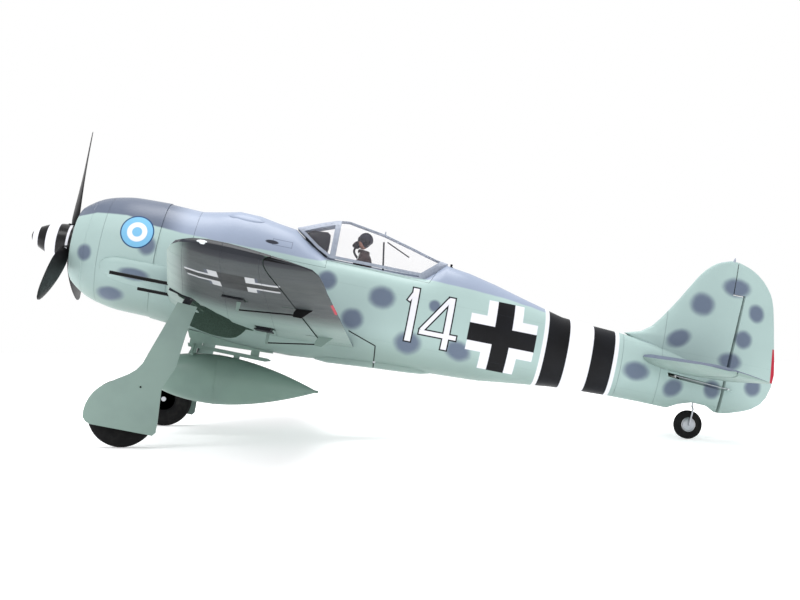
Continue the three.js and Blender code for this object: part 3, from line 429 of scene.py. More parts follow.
def fuselage_paint():
    paint = Paint("painted_fuselage")
    x, y, z = paint.place()
    edge = polyline(x, DECK_EDGE) + (paint.noise(14.0, 2.0) - 0.5) * 9.0
    deck = (z - edge).step(-1.5, 1.5) * x.step(905.0, 850.0)
    spine = paint.facing(UP).step(0.8, 0.95) * x.step(1030.0, 1060.0)
    # Darker towards the belly: partly the underside's paint, partly painted shade as if lit from above
    colour = paint.mix(z.step(-40.0, -95.0), SIDE, BELLY)
    colour = paint.mix(spots(paint, x, z), colour, SPOT)
    # Painted sheen: the deck aft of the cowl is lighter, standing in for the overhead light's reflection
    painted_sheen_aft = x.step(212.0, 262.0)
    colour = paint.mix(deck.most(spine), colour, paint.mix(painted_sheen_aft, DECK, DECK_PAINTED_SHEEN))
    colour = badge(paint, colour, x, z)
    colour = side_markings(paint, colour, x, y, z)
    tab = inside(abs(z - 24.0) - 29.0) * (x + (z - 24.0) * 0.1).step(1268.5, 1270.0)
    colour = paint.mix(tab, colour, RED)
    aft = inside(abs(x - BAND_MIDDLE) - (BAND_HALF + 0.5))
    rings = lines(x, [128.0, 1006.0, 1076.0])
    stringers = lines(z, [-62.0, 18.0]) * x.step(268.0, 272.0)
    runs = zip(FAIRING_LINE, FAIRING_LINE[1:])
    fairing = inside(union([bar(x, z, start, end, 0.9) for start, end in runs]))
    seams = rings.most(stringers * 0.25) * (1.0 - aft)
    colour = paint.mix(fairing, shaded(paint, colour, seams * 0.5), BLACK)
    # The slot is not cut; its dark oval is painted shade of the opening
    u, v = x - SLOT_PLACE[0], z - SLOT_PLACE[1]
    slot = paint.math("SQRT", u * u * 0.09 + v * v) - 3.2
    off_tail = x.step(500.0, 480.0)
    outline = inside(grip_outline(x, z) - 0.4, 0.3)
    colour = paint.mix(outline * off_tail * 0.7, colour, DECK_DARK)
    colour = paint.mix(inside(slot) * off_tail, colour, tone(40, 44, 54))
    rough = paint.noise(30.0, 2.0) * 0.14 + (0.42 - deck * 0.12)
    return paint.finish(colour, rough, foam_height(paint, seams.most(fairing)), 0.00018, coat=0.1)


def wing_paint():
    paint = Paint("painted_wing")
    x, y, _ = paint.place()
    span = abs(y)
    chord = [trail - lead for lead, trail in zip(WING_LEAD, WING_TRAIL)]
    share = (x - spread(WING_LEAD, span)) * paint.math("DIVIDE", 1.0, spread(chord, span))
    above = (paint.facing(UP) + (paint.noise(20.0, 2.0) - 0.5) * 0.1).step(0.02, 0.1)
    splinter = inside(bar(x + span * 0.7, span, (560, 130), (900, 700), 70.0), 2.0)
    top = paint.mix(splinter, DECK, DECK_DARK)
    top = paint.mix(span.step(690.0, 735.0), top, tone(52, 55, 62))
    u, v = x - FLAT_CROSS[0], span - FLAT_CROSS[1]
    # Painted shade: the underside darkens outboard and aft of the leading edge, as if in shadow
    outboard_painted_shade = span.step(200.0, 430.0) * share.step(0.0, 0.16)
    below = paint.mix(outboard_painted_shade, BELLY, UNDERWING_PAINTED_SHADE)
    for reach, half, tint in WING_CROSS_LAYERS:
        below = paint.mix(inside(plus_shape(u, v, reach, half)), below, tint)
    colour = paint.mix(above, below, top)
    ribs = lines(span, [150.0, 248.0, 335.0, 420.0, 520.0, 610.0, 700.0])
    spanwise = lines(share * 300.0, [30.0, 105.0, 180.0])
    seams = ribs.most(spanwise)
    tip_edge = span.step(737.0, 742.0) * share.step(0.06, 0.22)
    colour = paint.mix(tip_edge, colour, tone(40, 42, 46))
    tab = inside(abs(span - 488.0) - 44.0) * share.step(0.985, 0.99)
    colour = paint.mix(tab, shaded(paint, colour, seams * 0.6), RED)
    rough = paint.noise(30.0, 2.0) * 0.16 + 0.42
    return paint.finish(colour, rough, foam_height(paint, seams), 0.00018, coat=0.02)


def tail_paint():
    paint = Paint("painted_tailplane")
    _, y, _ = paint.place()
    span = abs(y)
    above = paint.facing(UP).step(0.02, 0.12)
    colour = paint.mix(above, BELLY, DECK)
    seams = lines(span, [70.0, 150.0, 215.0])
    rough = paint.noise(30.0, 2.0) * 0.16 + 0.42
    return paint.finish(shaded(paint, colour, seams * 0.6), rough, foam_height(paint, seams), 0.00018)


def store_paint(name, colour):
    paint = Paint(name)
    rough = paint.noise(40.0, 2.0) * 0.15 + 0.38
    cloud = paint.noise(16.0, 3.0).step(0.35, 0.8) * 0.18
    height = paint.noise(700.0, 3.0) * 0.5 + paint.noise(90.0, 2.0)
    return paint.finish(paint.mix(cloud, colour, DECK_DARK), rough, height, 0.00012, coat=0.15)


def recess_foam_and_shade():
    # Faces off the skin: foam cells in a dark tone that is partly painted shade of the recesses
    paint = Paint("well_foam")
    cells = paint.noise(500.0, 4.0)
    colour = paint.mix(cells.step(0.35, 0.7) * 0.5, WELL_FOAM_AND_SHADE, tone(50, 64, 58))
    return paint.finish(colour, 0.75, cells, 0.0004)


# ------------------------------------------------------------------------ other materials
def moulded(name, colour, roughness, grain=600.0, depth=0.00006, wear=None):
    """Moulded plastic with a fine spark texture and rubbed patches."""
    paint = Paint(name)
    patches = paint.noise(45.0, 4.0).step(0.55, 0.8)
    worn = wear or tuple(min(1.0, part * 1.5 + 0.01) for part in colour[:3]) + (1.0,)
    rough = paint.noise(60.0, 3.0) * 0.2 + (roughness - 0.1)
    return paint.finish(paint.mix(patches * 0.35, colour, worn), rough, paint.noise(grain, 3.0), depth)


def metal(name, colour, roughness):
    paint = Paint(name)
    brushed = paint.noise(900.0, 3.0)
    stain = paint.noise(30.0, 4.0).step(0.5, 0.9)
    rough = brushed * 0.25 + (roughness - 0.1)
    darker = tuple(part * 0.55 for part in colour[:3]) + (1.0,)
    return paint.finish(paint.mix(stain * 0.5, colour, darker), rough, brushed, 0.00004, metallic=1.0)


def tyre_rubber():
    paint = Paint("tyre_rubber")
    dust = paint.noise(60.0, 5.0).step(0.45, 0.85) * 0.25
    colour = paint.mix(dust, tone(20, 20, 21), tone(74, 72, 68))
    height = paint.noise(420.0, 4.0)
    return paint.finish(colour, paint.noise(30.0, 2.0) * 0.15 + 0.68, height, 0.00018)


def clear_plastic():
    paint = Paint("clear_canopy")
    haze = paint.noise(25.0, 3.0) * 0.03 + 0.03
    material = paint.finish(tone(222, 218, 228), haze)
    paint.shader.inputs["Alpha"].default_value = 0.035
    paint.shader.inputs["Specular IOR Level"].default_value = 0.7
    return material


def canopy_frame_paint():
    paint = Paint("canopy_frame")
    mottled = paint.noise(260.0, 4.0).step(0.35, 0.7) * 0.4
    colour = paint.mix(mottled, tone(158, 165, 178), tone(122, 128, 142))
    return paint.finish(colour, paint.noise(80.0) * 0.2 + 0.4, paint.noise(500.0, 3.0), 0.0001)


def striped_spinner():
    paint = Paint("spinner_stripes")
    x, _, _ = paint.place()
    edges = [4.0, 14.0, 28.0, 46.0, 62.0, 66.0]
    white = 0.0
    for low, high in zip(edges[::2], edges[1::2]):
        white = inside(abs(x - (low + high) / 2) - (high - low) / 2, 0.3) + white
    scuff = paint.noise(80.0, 4.0).step(0.5, 0.8) * 0.12
    colour = paint.mix(scuff, paint.mix(white, BLACK, WHITE), tone(110, 110, 112))
    return paint.finish(colour, paint.noise(50.0) * 0.12 + 0.22, paint.noise(500.0), 0.00004, coat=0.3)


def plywood():
    paint = Paint("birch_plywood")
    grain = paint.noise(120.0, 5.0, (1.0, 0.12, 1.0))
    colour = paint.mix(grain, tone(206, 172, 118), tone(164, 124, 76))
    return paint.finish(colour, 0.62, grain, 0.0002)


MATERIALS = {
    "fuselage": fuselage_paint(),
    "wing": wing_paint(),
    "tail": tail_paint(),
    "store": store_paint("painted_store", STORE),
    "door": store_paint("painted_door", tone(126, 146, 139)),
    "well": recess_foam_and_shade(),
    "black": moulded("black_plastic", tone(10, 10, 12), 0.42),
    "blade": moulded("propeller_plastic", tone(24, 23, 25), 0.34, wear=tone(52, 46, 44)),
    "case": moulded("servo_case", tone(34, 36, 40), 0.45),
    "nylon": moulded("white_nylon", tone(226, 226, 222), 0.45),
    "wrap": moulded("battery_wrap", tone(38, 72, 136), 0.32),
    "deck_plastic": moulded("deck_plastic", DECK, 0.45),
    "dark": moulded("cockpit_dark", tone(40, 42, 46), 0.6),
    "grey": moulded("cockpit_grey", tone(116, 122, 128), 0.5),
    "lens": moulded("lamp_lens", tone(214, 220, 224), 0.15, depth=0.00002),
    "steel": metal("bright_steel", tone(196, 199, 204), 0.3),
    "strut": metal("strut_steel", tone(170, 174, 180), 0.34),
    "aluminium": metal("turned_aluminium", tone(186, 188, 192), 0.32),
    "carbon": moulded("carbon_tube", tone(22, 23, 26), 0.35, 1400.0),
    "tyre": tyre_rubber(),
    "glass": clear_plastic(),
    "frame": canopy_frame_paint(),
    "headrest": moulded("headrest_pad", tone(58, 48, 46), 0.7, 240.0, 0.0002),
    "spinner": striped_spinner(),
    "plywood": plywood(),
    "helmet": moulded("helmet_leather", tone(30, 32, 44), 0.5, 300.0, 0.0002),
    "jacket": moulded("jacket_leather", tone(58, 44, 42), 0.62, 260.0, 0.0003),
    "face": moulded("face_vinyl", tone(150, 108, 92), 0.55),
}

# ------------------------------------------------------------------------ shape tables
# [x, top, bottom, half width, height of the widest point, power above it, power below it]
FUSELAGE_STATIONS = [
    (218.4, 95.5, -98, 95, 0, 2, 2),
    (271, 93.5, -103, 92, 0, 2, 2.05),
    (300, 99, -105, 90, 0, 2, 2.1),
    (332, 106, -109, 87.5, -1, 2.05, 2.15),
    (367, 105, -113, 84.5, -2, 2.1, 2.2),
    (400, 99, -115, 82, -3, 2.15, 2.2),
    (429, 95, -115, 79.5, -4, 2.2, 2.2),
    (460, 73, -115, 77, -5, 2.7, 2.2),
    (489, 55, -113, 75, -6, 3.6, 2.2),
    (560, 55, -107, 70, -8, 3.6, 2.2),
    (620, 54, -103, 66.5, -9, 3.5, 2.2),
    (655, 56, -101.5, 64.5, -10, 3.2, 2.2),
    (688, 85, -100, 62.5, -10, 2.1, 2.2),
    (731, 79, -98.5, 60, -11, 2.1, 2.2),
    (776, 69, -96.5, 57, -12, 2.1, 2.2),
    (832, 54, -90, 52.5, -14, 2.1, 2.15),
    (899, 37, -83, 45, -17, 2.1, 2.1),
    (949, 33, -80.5, 39, -19, 2.1, 2.1),
    (1002, 30, -79, 33, -21, 2.1, 2.1),
    (1057, 24, -79, 26, -24, 2.1, 2.1),
    (1103, 16, -80, 20, -28, 2.1, 2.1),
    (1122, 12, -70, 17.7, -27, 2.1, 2.1),
    (1145, 6, -63, 14.7, -27, 2.1, 2.1),
    (1170, 0, -64, 11.5, -30, 2.1, 2.1),
    (1198, -4, -73, 8.5, -36, 2.1, 2.1),
]
# [height, leading edge, trailing edge, thickness]
FIN_STATIONS = [
    (-72, 1186, 1196, 8),
    (-70, 1181.5, 1208, 11),
    (-66, 1174, 1220, 13),
    (-61, 1162, 1235, 14),
    (-55, 1150, 1248, 15),
    (-44, 1124, 1262, 16),
    (-31, 1100, 1270, 17),
    (-12, 1079, 1275.5, 18),
    (10, 1060, 1277, 19),
    (32, 1008, 1273.5, 20),
    (40, 1036, 1272, 19.5),
    (52, 1053, 1269.5, 19),
    (68, 1066, 1266.5, 18),
    (88, 1079.5, 1262.8, 16.5),
    (109, 1093, 1258.5, 15),
    (123, 1101, 1255.3, 14),
    (136, 1109, 1251, 13),
    (145, 1114.2, 1246.5, 12.2),
    (154, 1120, 1240, 11.5),
    (164, 1127.8, 1231, 10.2),
    (173, 1137, 1219.8, 9),
    (179, 1145, 1209.5, 8),
    (183, 1153, 1200.5, 7),
    (188, 1168, 1183, 4),
]
# [span, thickness over chord, how far the tip rounds the leading edge, and the trailing edge, lift]
WING_STATIONS = [
    (12, 0.165, 0, 0, 0),
    (150, 0.163, 0, 0, 0),
    (300, 0.158, 0, 0, 0),
    (460, 0.148, 0, 0, 0),
    (620, 0.135, 0, 0, 0),
    (690, 0.13, 0, 0, 1.5),
    (725, 0.128, 4, 3, 4),
    (742, 0.11, 12, 9, 6),
    (750, 0.05, 28, 24, 7),
]
# [span, thickness, how far the tip rounds the leading edge, and the trailing edge]
STABILIZER_STATIONS = [
    (8, 21, 0, 0),
    (90, 18.5, 0, 0),
    (180, 15, 0, 0),
    (236, 12.5, 0, 0),
    (252, 9, 8, 6),
    (260, 4, 30, 26),
]
# [x, base, top, half width at the base]
CANOPY_STATIONS = [
    (431, 95.8, 98, 16),
    (446, 85.5, 104, 30),
    (470, 68, 114, 40),
    (492, 56.2, 122, 44),
    (514, 56, 125, 45),
    (576, 56, 115, 43.5),
    (630, 56, 101, 39),
    (651, 56.6, 95, 34),
    (672, 74, 89.5, 20),
    (690, 84.2, 87.2, 9),
]
COWL_PROFILE = [(80.5, 63.5), (90, 71), (104, 80), (120, 86.5), (140, 91.5), (165, 95), (218, 96.5)]
EDGE_HALF = 0.9


def fuselage_ring(row):
    x, top, bottom, half, middle, upper, lower = row
    ring = []
    for side, height in circle(96):
        curve = 2 / (upper if height >= 0 else lower)
        reach = top - middle if height >= 0 else middle - bottom
        ring.append(craft(x, half * power(side, curve), middle + reach * power(height, curve)))
    return ring


def half_thickness(share, thickness):
    """The usual four-digit aerofoil, with a blunt trailing edge."""
    curve = 0.2969 * math.sqrt(share) - 0.126 * share - 0.3516 * share**2
    curve += 0.2843 * share**3 - 0.1036 * share**4
    return 5 * thickness * curve + EDGE_HALF * share


def aerofoil_ring(lead, trail, thickness, upper_share, up):
    """Upper surface from the trailing edge to the leading edge, then the lower one back."""
    shares = [(1 + math.cos(math.pi * k / 40)) / 2 for k in range(40)]
    walk = [(share, 1) for share in [*shares, 0.0]] + [(share, -1) for share in shares[::-1]]
    ring = []
    for share, side in walk:
        part = upper_share if side > 0 else upper_share - 1
        offset = 2 * part * half_thickness(share, thickness)
        point = [a + share * (b - a) + offset * c for a, b, c in zip(lead, trail, up)]
        ring.append(craft(*point))
    return ring


def wing_rings(side):
    rings = []
    for span, ratio, front, back, lift in WING_STATIONS:
        y = side * span
        lead = (spread(WING_LEAD, span) + front, y, spread(WING_LEAD_HEIGHT, span) + lift)
        trail = (spread(WING_TRAIL, span) - back, y, spread(WING_TRAIL_HEIGHT, span) + lift)
        rings.append(aerofoil_ring(lead, trail, ratio * math.dist(lead, trail), 0.6, (0, 0, 1)))
    return rings


def stabilizer_rings(side):
    rings = []
    for span, thickness, front, back in STABILIZER_STATIONS:
        ends = (spread(TAIL_LEAD, span) + front, spread(TAIL_TRAIL, span) - back)
        lead, trail = ((x, side * span, -3 - 0.075 * (x - 1040)) for x in ends)
        rings.append(aerofoil_ring(lead, trail, thickness, 0.5, (0, 0, 1)))
    return rings


def fin_rings():
    return [
        aerofoil_ring((lead, 0, z), (trail, 0, z), thickness, 0.5, (0, 1, 0))
        for z, lead, trail, thickness in FIN_STATIONS
    ]


# ------------------------------------------------------------------------ smooth normals
def facings(points, faces):
    """Normals of triangles, as long as twice their areas."""
    corners = points[faces]
    return np.cross(corners[:, 1] - corners[:, 0], corners[:, 2] - corners[:, 0])


class Skin:
    """A smooth surface that lends its normals to the faceted solids that were cut from it."""

    def __init__(self, rings):
        size = len(rings[0])
        middle = sum(rings[-1], Vector()) / size
        self.points = np.array([tuple(p) for ring in rings for p in ring] + [tuple(middle)])
        faces = []
        for i in range(len(rings) - 1):
            for j in range(size):
                a, b = i * size + j, i * size + (j + 1) % size
                faces += [(a, b, b + size), (a, b + size, a + size)]
        last = (len(rings) - 1) * size
        faces += [(last + j, last + (j + 1) % size, len(rings) * size) for j in range(size)]
        self.faces = np.array(faces)
        facing = facings(self.points, self.faces)
        self.normals = np.zeros_like(self.points)
        for corner in range(3):
            np.add.at(self.normals, self.faces[:, corner], facing)
        lengths = np.linalg.norm(self.normals, axis=1, keepdims=True)
        self.normals /= np.maximum(lengths, 1e-12)
        self.tree = BVHTree.FromPolygons([Vector(p) for p in self.points], [tuple(f) for f in faces])

    def normal_near(self, point):
        """The smooth normal at the nearest point of the skin, and how far off that is."""
        found, _, index, distance = self.tree.find_nearest(point)
        a, b, c = (self.points[k] for k in self.faces[index])
        p = np.array(found)
        v0, v1, v2 = b - a, c - a, p - a
        d00, d01, d11 = v0 @ v0, v0 @ v1, v1 @ v1
        d20, d21 = v2 @ v0, v2 @ v1
        area = d00 * d11 - d01 * d01
        if abs(area) < 1e-20:
            return self.normals[self.faces[index][0]], distance
        s, t = (d11 * d20 - d01 * d21) / area, (d00 * d21 - d01 * d20) / area
        weights = (1 - s - t, s, t)
        return sum(w * self.normals[k] for w, k in zip(weights, self.faces[index])), distance


NEAR_SKIN = 1.3 * MM
SKIN_COSINE = math.cos(math.radians(38))
CREASE_COSINE = math.cos(math.radians(33))
KEYS_PER_METRE = 1e5


def smooth_node(node, skins, inner=None):
    """Normals from the skins where the solid follows them, and averaged over gentle edges elsewhere.
    Faces on no skin take the inner material."""
    mesh = node.data
    points = np.array([v.co for v in mesh.vertices])
    corners = np.array([tuple(p.vertices) for p in mesh.polygons])
    facing = facings(points, corners)
    units = facing / np.maximum(np.linalg.norm(facing, axis=1, keepdims=True), 1e-15)
    meeting = {}
    keys = np.round(points * KEYS_PER_METRE).astype(int)
    for face, triple in enumerate(corners):
        for corner in triple:
            meeting.setdefault(tuple(keys[corner]), []).append(face)
    normals = []
    for face, triple in enumerate(corners):
        on_skin = False
        for corner in triple:
            chosen = None
            for skin in skins:
                normal, distance = skin.normal_near(Vector(points[corner]))
                if normal @ units[face] < 0:
                    normal = -normal
                if distance < NEAR_SKIN and normal @ units[face] > SKIN_COSINE:
                    chosen = normal
                    on_skin = True
                    break
            if chosen is None:
                near = [f for f in meeting[tuple(keys[corner])] if units[f] @ units[face] > CREASE_COSINE]
                chosen = facing[near].sum(axis=0)
            normals.append(chosen / max(np.linalg.norm(chosen), 1e-15))
        if inner and not on_skin:
            mesh.polygons[face].material_index = 1
    mesh.polygons.foreach_set("use_smooth", [True] * len(mesh.polygons))
    mesh.normals_split_custom_set([tuple(normal) for normal in normals])


def dress(name, material, skins=(), inner=None):
    node = NODES[name]
    node.data.materials.clear()
    node.data.materials.append(MATERIALS[material])
    if inner:
        node.data.materials.append(MATERIALS[inner])
    smooth_node(node, skins, inner)


def dress_nodes():
    body_skins = [Skin([fuselage_ring(row) for row in FUSELAGE_STATIONS]), Skin(fin_rings())]
    dress("fuselage", "fuselage", body_skins, "well")
    dress("hatch_deck", "fuselage", body_skins[:1], "dark")
    dress("rudder", "fuselage", body_skins[1:])
    for side, sign in SIDES.items():
        wing_skin = [Skin(wing_rings(sign))]
        # Aileron faces off the skin are black: the horn plate is black plastic, the black nose and ends are
        # painted shade in the hinge gap
        for part, inner in (("wing", "well"), ("aileron", "black"), ("flap", "door")):
            dress(f"{part}_{side}", "wing", wing_skin, inner)
        dress(f"stabilizer_{side}", "tail", [Skin(stabilizer_rings(sign))])
        for material, parts in SIDE_NODES.items():
            for part in parts:
                dress(f"{part}_{side}", material)
    dress("elevator", "tail", [Skin(stabilizer_rings(-1)), Skin(stabilizer_rings(1))])
    for material, names in PLAIN_NODES.items():
        for name in names:
            dress(name, material)


SIDE_NODES = {
    "door": ["gear_door", "aileron_servo_arm", "flap_servo_arm"],
    "dark": ["gear_leg"],
    "steel": ["sliding_leg"],
    "case": ["retract_unit", "aileron_servo", "flap_servo"],
    "black": ["root_cannon", "outer_cannon", "aileron_pushrod", "flap_pushrod"],
}


PLAIN_NODES = {
    "aluminium": ["motor_bell", "motor_stator"],
    "plywood": ["motor_mount"],
    "wrap": ["flight_battery"],
    "case": ["speed_controller", "receiver", "rudder_servo", "elevator_servo"],
    "carbon": ["wing_spar_tube"],
    "nylon": ["rudder_servo_arm", "elevator_servo_arm"],
    "steel": ["rudder_pushrod", "elevator_pushrod"],
    "store": ["tank_rack"],
    "strut": ["tail_wheel_leg"],
}


# ------------------------------------------------------------------------ making pieces
def add_object(name, data):
    thing = bpy.data.objects.new(name, data)
    bpy.context.scene.collection.objects.link(thing)
    return thing


def make(name, points, faces, material, body, slot=None, sharp=35.0, subdivide=0):
    """A mesh piece, from points in the row frame, that rides on a body."""
    mesh = bpy.data.meshes.new(name)
    mesh.from_pydata([tuple(p) for p in points], [], faces)
    mesh.materials.append(MATERIALS[material])
    mesh.polygons.foreach_set("use_smooth", [True] * len(mesh.polygons))
    mesh.set_sharp_from_angle(angle=math.radians(sharp))
    mesh.validate()
    piece = add_object(name, mesh)
    if subdivide:
        modifier = piece.modifiers.new("subdivision", "SUBSURF")
        modifier.levels = modifier.render_levels = subdivide
    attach(piece, body)
    return piece


def loft(rings):
    """Points and faces of a closed skin over rings with equal counts."""
    size = len(rings[0])
    points = [p for ring in rings for p in ring]
    faces = []
    for i in range(len(rings) - 1):
        for j in range(size):
            a, b = i * size + j, i * size + (j + 1) % size
            faces.append((a, b, b + size, a + size))
    faces.append(tuple(range(size))[::-1])
    faces.append(tuple(range(len(points) - size, len(points))))
    return points, faces


def joined(parts):
    """Several (points, faces) as one."""
    points, faces = [], []
    for more_points, more_faces in parts:
        base = len(points)
        points += more_points
        faces += [tuple(base + k for k in face) for face in more_faces]
    return points, faces


def smooth_curve(knots, steps):
    """A curve through knots of any dimension, with steps to each stretch."""
    knots = [np.array(k, float) for k in knots]
    padded = [2 * knots[0] - knots[1], *knots, 2 * knots[-1] - knots[-2]]
    curve = []
    for a, b, c, d in zip(padded, padded[1:], padded[2:], padded[3:]):
        for k in range(steps):
            t = k / steps
            point = 2 * b + (c - a) * t + (2 * a - 5 * b + 4 * c - d) * t * t
            curve.append((point + (3 * b - a - 3 * c + d) * t**3) / 2)
    return [tuple(p) for p in [*curve, knots[-1]]]


def hoop(centre, axis, start, radius, sides):
    """A ring about an axis, with its first point towards start."""
    other = axis.cross(start)
    return [craft(*(centre + (start * c + other * s) * radius)) for c, s in circle(sides)]


def turned(profile, origin, axis, sides=96):
    """A profile of (distance along the axis, radius) turned about an axis; lengths in millimetres."""
    axis = Vector(axis).normalized()
    across = axis.cross(Vector((0.3, 0.2, 0.9))).normalized()
    return loft([hoop(Vector(origin) + axis * u, axis, across, r, sides) for u, r in profile])


def opposite(profile):
    """The other half of a profile that is alike on both sides of its middle."""
    return [(-along, radius) for along, radius in profile[::-1]]


def tube(path, radius, sides=12):
    """A round rod along points in airframe millimetres."""
    path = [Vector(p) for p in path]
    rings = []
    across = None
    for k, point in enumerate(path):
        ahead = (path[min(k + 1, len(path) - 1)] - path[max(k - 1, 0)]).normalized()
        start = across or (Vector((0, 0, 1)) if abs(ahead.z) < 0.9 else Vector((1, 0, 0)))
        across = (start - ahead * start.dot(ahead)).normalized()
        rings.append(hoop(point, ahead, across, radius, sides))
    return loft(rings)


# ------------------------------------------------------------------------ nose
THRUST_LINE = (1.0, 0.0, 0.0)
SPINNER_PROFILE = [(0, 0.1), (1.5, 6), (6, 11.5), (14, 17.2), (28, 23.6), (46, 28.4), (62, 30.2), (74, 30.5)]
PROP_X = 65.0
PROP_START = math.radians(1.9)
BLADE_PITCH = 205.0
BLADES = [PROP_START + math.tau * k / 3 for k in range(3)]
# [distance from the hub, chord, thickness]
BLADE_STATIONS = [
    (9, 12, 9),
    (24, 14, 8),
    (40, 22, 6.5),
    (62, 31, 5),
    (92, 37, 4),
    (125, 36, 3),
    (155, 29, 2.4),
    (177, 19, 1.8),
    (188, 7, 1.2),
]


COWL_SEAM = 103.0


def turned_about_thrust(point, angle):
    x, y, z = point
    return (x, y * math.cos(angle) - z * math.sin(angle), y * math.sin(angle) + z * math.cos(angle))


def spinner():
    outer = smooth_curve(SPINNER_PROFILE, 6)
    shell = [*outer, (74, 28.8), (60, 28.4), (40, 26), (20, 17), (8, 8), (6, 0.1)]
    piece = make("spinner_shell", *turned(shell, (0, 0, 0), THRUST_LINE), "spinner", "propeller_assembly")
    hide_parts("spinner")
    profile = [(0, 7.6), (2.5, 9.9), (6.2, 9.4), (6.6, 8.2), (0, 7.5)]
    collars = []
    for angle in BLADES:
        centre = turned_about_thrust((PROP_X, 0, 24.5), angle)
        collars.append(turned(profile, centre, turned_about_thrust((0, 0, 1), angle), 40))
    make("blade_collars", *joined(collars), "blade", "propeller_assembly", "black_plastic")


def blade_rings(angle):
    rings = []
    for reach, chord, thickness in smooth_curve(BLADE_STATIONS, 6):
        slope = math.atan2(BLADE_PITCH, math.tau * max(reach, 38))
        ring = []
        for c, s in circle(28):
            along = chord / 2 * c
            across = thickness / 2 * power(s, 1.25) * (1.0 - 0.25 * c)
            x = PROP_X - along * math.sin(slope) + across * math.cos(slope)
            y = along * math.cos(slope) + across * math.sin(slope)
            ring.append(craft(*turned_about_thrust((x, y, reach), angle)))
        rings.append(ring)
    return rings


def propeller():
    parts = [loft(blade_rings(angle)) for angle in BLADES]
    hub = [(-10, 3.6), (-10, 12.2), (-9, 13), (7, 13), (8, 12.2), (8, 3.6), (-10, 3.5)]
    parts.append(turned(hub, (PROP_X, 0, 0), THRUST_LINE, 48))
    piece = make("propeller_blades", *joined(parts), "blade", "propeller_assembly", "black_plastic", 50)
    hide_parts("propeller")


def seam_dip(x, middle, width=0.9):
    """How deep a moulded seam of the cowl is at a distance aft."""
    return 0.9 * math.exp(-(((x - middle) / width) ** 2))


def cowl_curve():
    lip = [(84, 50.2), (79, 49.8), (76.3, 51.5), (75.8, 54.5), (77, 58.5), (79.5, 62.5)]
    body = []
    for x, radius in smooth_curve(COWL_PROFILE, 8):
        if abs(x - COWL_SEAM) > 1.7:
            body.append((x, radius - (seam_dip(x, COWL_SEAM) + seam_dip(x, 81.5, 0.7))))
    for x in (101.5, 102.3, 103, 103.8, 104.6):
        body.append((x, cowl_radius(x) - seam_dip(x, COWL_SEAM)))
    inner = [(218, 93.5), (140, 88), (106, 77), (86, 60)]
    return [*lip, *sorted(body), *inner, (84, 50.1)]


def cowl_radius(x):
    return at(smooth_curve(COWL_PROFILE, 8), x)[0]


def cowling():
    shell = turned(cowl_curve(), (0, 0, 0), THRUST_LINE, 144)
    piece = make("cowling_shell", *shell, "fuselage", "airframe", "foam_side", 50)
    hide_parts("cowling")
    baffle = [(90, 30), (86, 31), (86, 57), (90, 59)]
    parts = [turned([*baffle, (90, 30)], (0, 0, 0), THRUST_LINE, 96)]
    for k in range(12):
        angle = math.tau * (k + 0.5) / 12
        ring = []
        for reach, half in ((31, 4.0), (44, 5.5), (57, 6.5)):
            corners = [(85.6, -half), (83.6, half), (84.8, half), (86.4, -half)]
            ring.append([craft(*turned_about_thrust((x, y, reach), angle)) for x, y in corners])
        parts.append(loft(ring))
    make("intake_baffle", *joined(parts), "black", "airframe", "black_plastic")


# ------------------------------------------------------------------------ wheels
AXLE = (240.0, 251.5, -241.2)
TAIL_AXLE = (1145.0, 0.0, -100.9)
# [share of half the width, share of the hub radius]
RIM_PROFILE = [
    (0.80, 0.99),
    (0.84, 0.93),
    (0.78, 0.86),
    (0.45, 0.80),
    (0.40, 0.42),
    (0.72, 0.34),
    (0.80, 0.28),
    (0.80, 0.16),
]


def tyre_profile(radius, half, hub):
    shoulder = [
        (-half * 0.78, hub),
        (-half * 0.92, hub + radius * 0.06),
        (-half, radius * 0.74),
        (-half * 0.95, radius * 0.86),
        (-half * 0.72, radius * 0.955),
        (-half * 0.40, radius * 0.995),
    ]
    across = enumerate(np.linspace(-0.36, 0.36, 14))
    treads = [(half * u, radius * (0.995 if k % 2 else 0.975)) for k, u in across]
    bore = [(half * 0.5, hub * 0.96), (-half * 0.5, hub * 0.96)]
    return [*shoulder, *treads, *opposite(shoulder), *bore, shoulder[0]]


def wheel(name, centre, radius, half, body, node, hub_share):
    """A large hub is a metal disc with a cap."""
    hub = radius * hub_share
    large = hub_share > 0.48
    tyre = turned(tyre_profile(radius, half, hub), centre, ABEAM, 96)
    piece = make(name + "_tyre", *tyre, "tyre", body, "rubber_wheel", 30)
    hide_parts(node)
    rim = [(-half * u, hub * r) for u, r in RIM_PROFILE]
    rim = turned([*rim, *opposite(rim), rim[0]], centre, ABEAM, 64)
    make(name + "_hub", *rim, "aluminium" if large else "black", body, "rubber_wheel", 30)
    size, sides = (0.42, 48) if large else (0.07, 6)
    face = [(half * 0.86, radius * size), (half + 0.2, radius * size * 0.6), (half + 0.3, 0.1)]
    nut = turned(opposite(face) + face, centre, ABEAM, sides)
    make(name + "_nut", *nut, "strut", body, "steel", 30)


def wheels():
    for side, sign in SIDES.items():
        centre = (AXLE[0], sign * AXLE[1], AXLE[2])
        wheel(f"main_wheel_{side}", centre, 50.0, 12.5, f"wheel_{side}", f"wheel_{side}", 0.46)
    wheel("rear_wheel", TAIL_AXLE, 24.3, 6.5, "tail_wheel", "tail_wheel", 0.5)


# ------------------------------------------------------------------------ belly store
TANK_NOSE = Vector((227.0, 0.0, -185.4))
TANK_TAIL = Vector((517.0, 0.0, -166.0))
TANK_RADIUS = 41.3
TANK_WIDEST = 116.0


def tank_radius(along):
    length = (TANK_TAIL - TANK_NOSE).length
    if along <= TANK_WIDEST:
        return TANK_RADIUS * math.sqrt(max(1 - ((TANK_WIDEST - along) / TANK_WIDEST) ** 2, 0.0))
    share = (along - TANK_WIDEST) / (length - TANK_WIDEST)
    return max(TANK_RADIUS * (1 - share**1.75), 2.2)


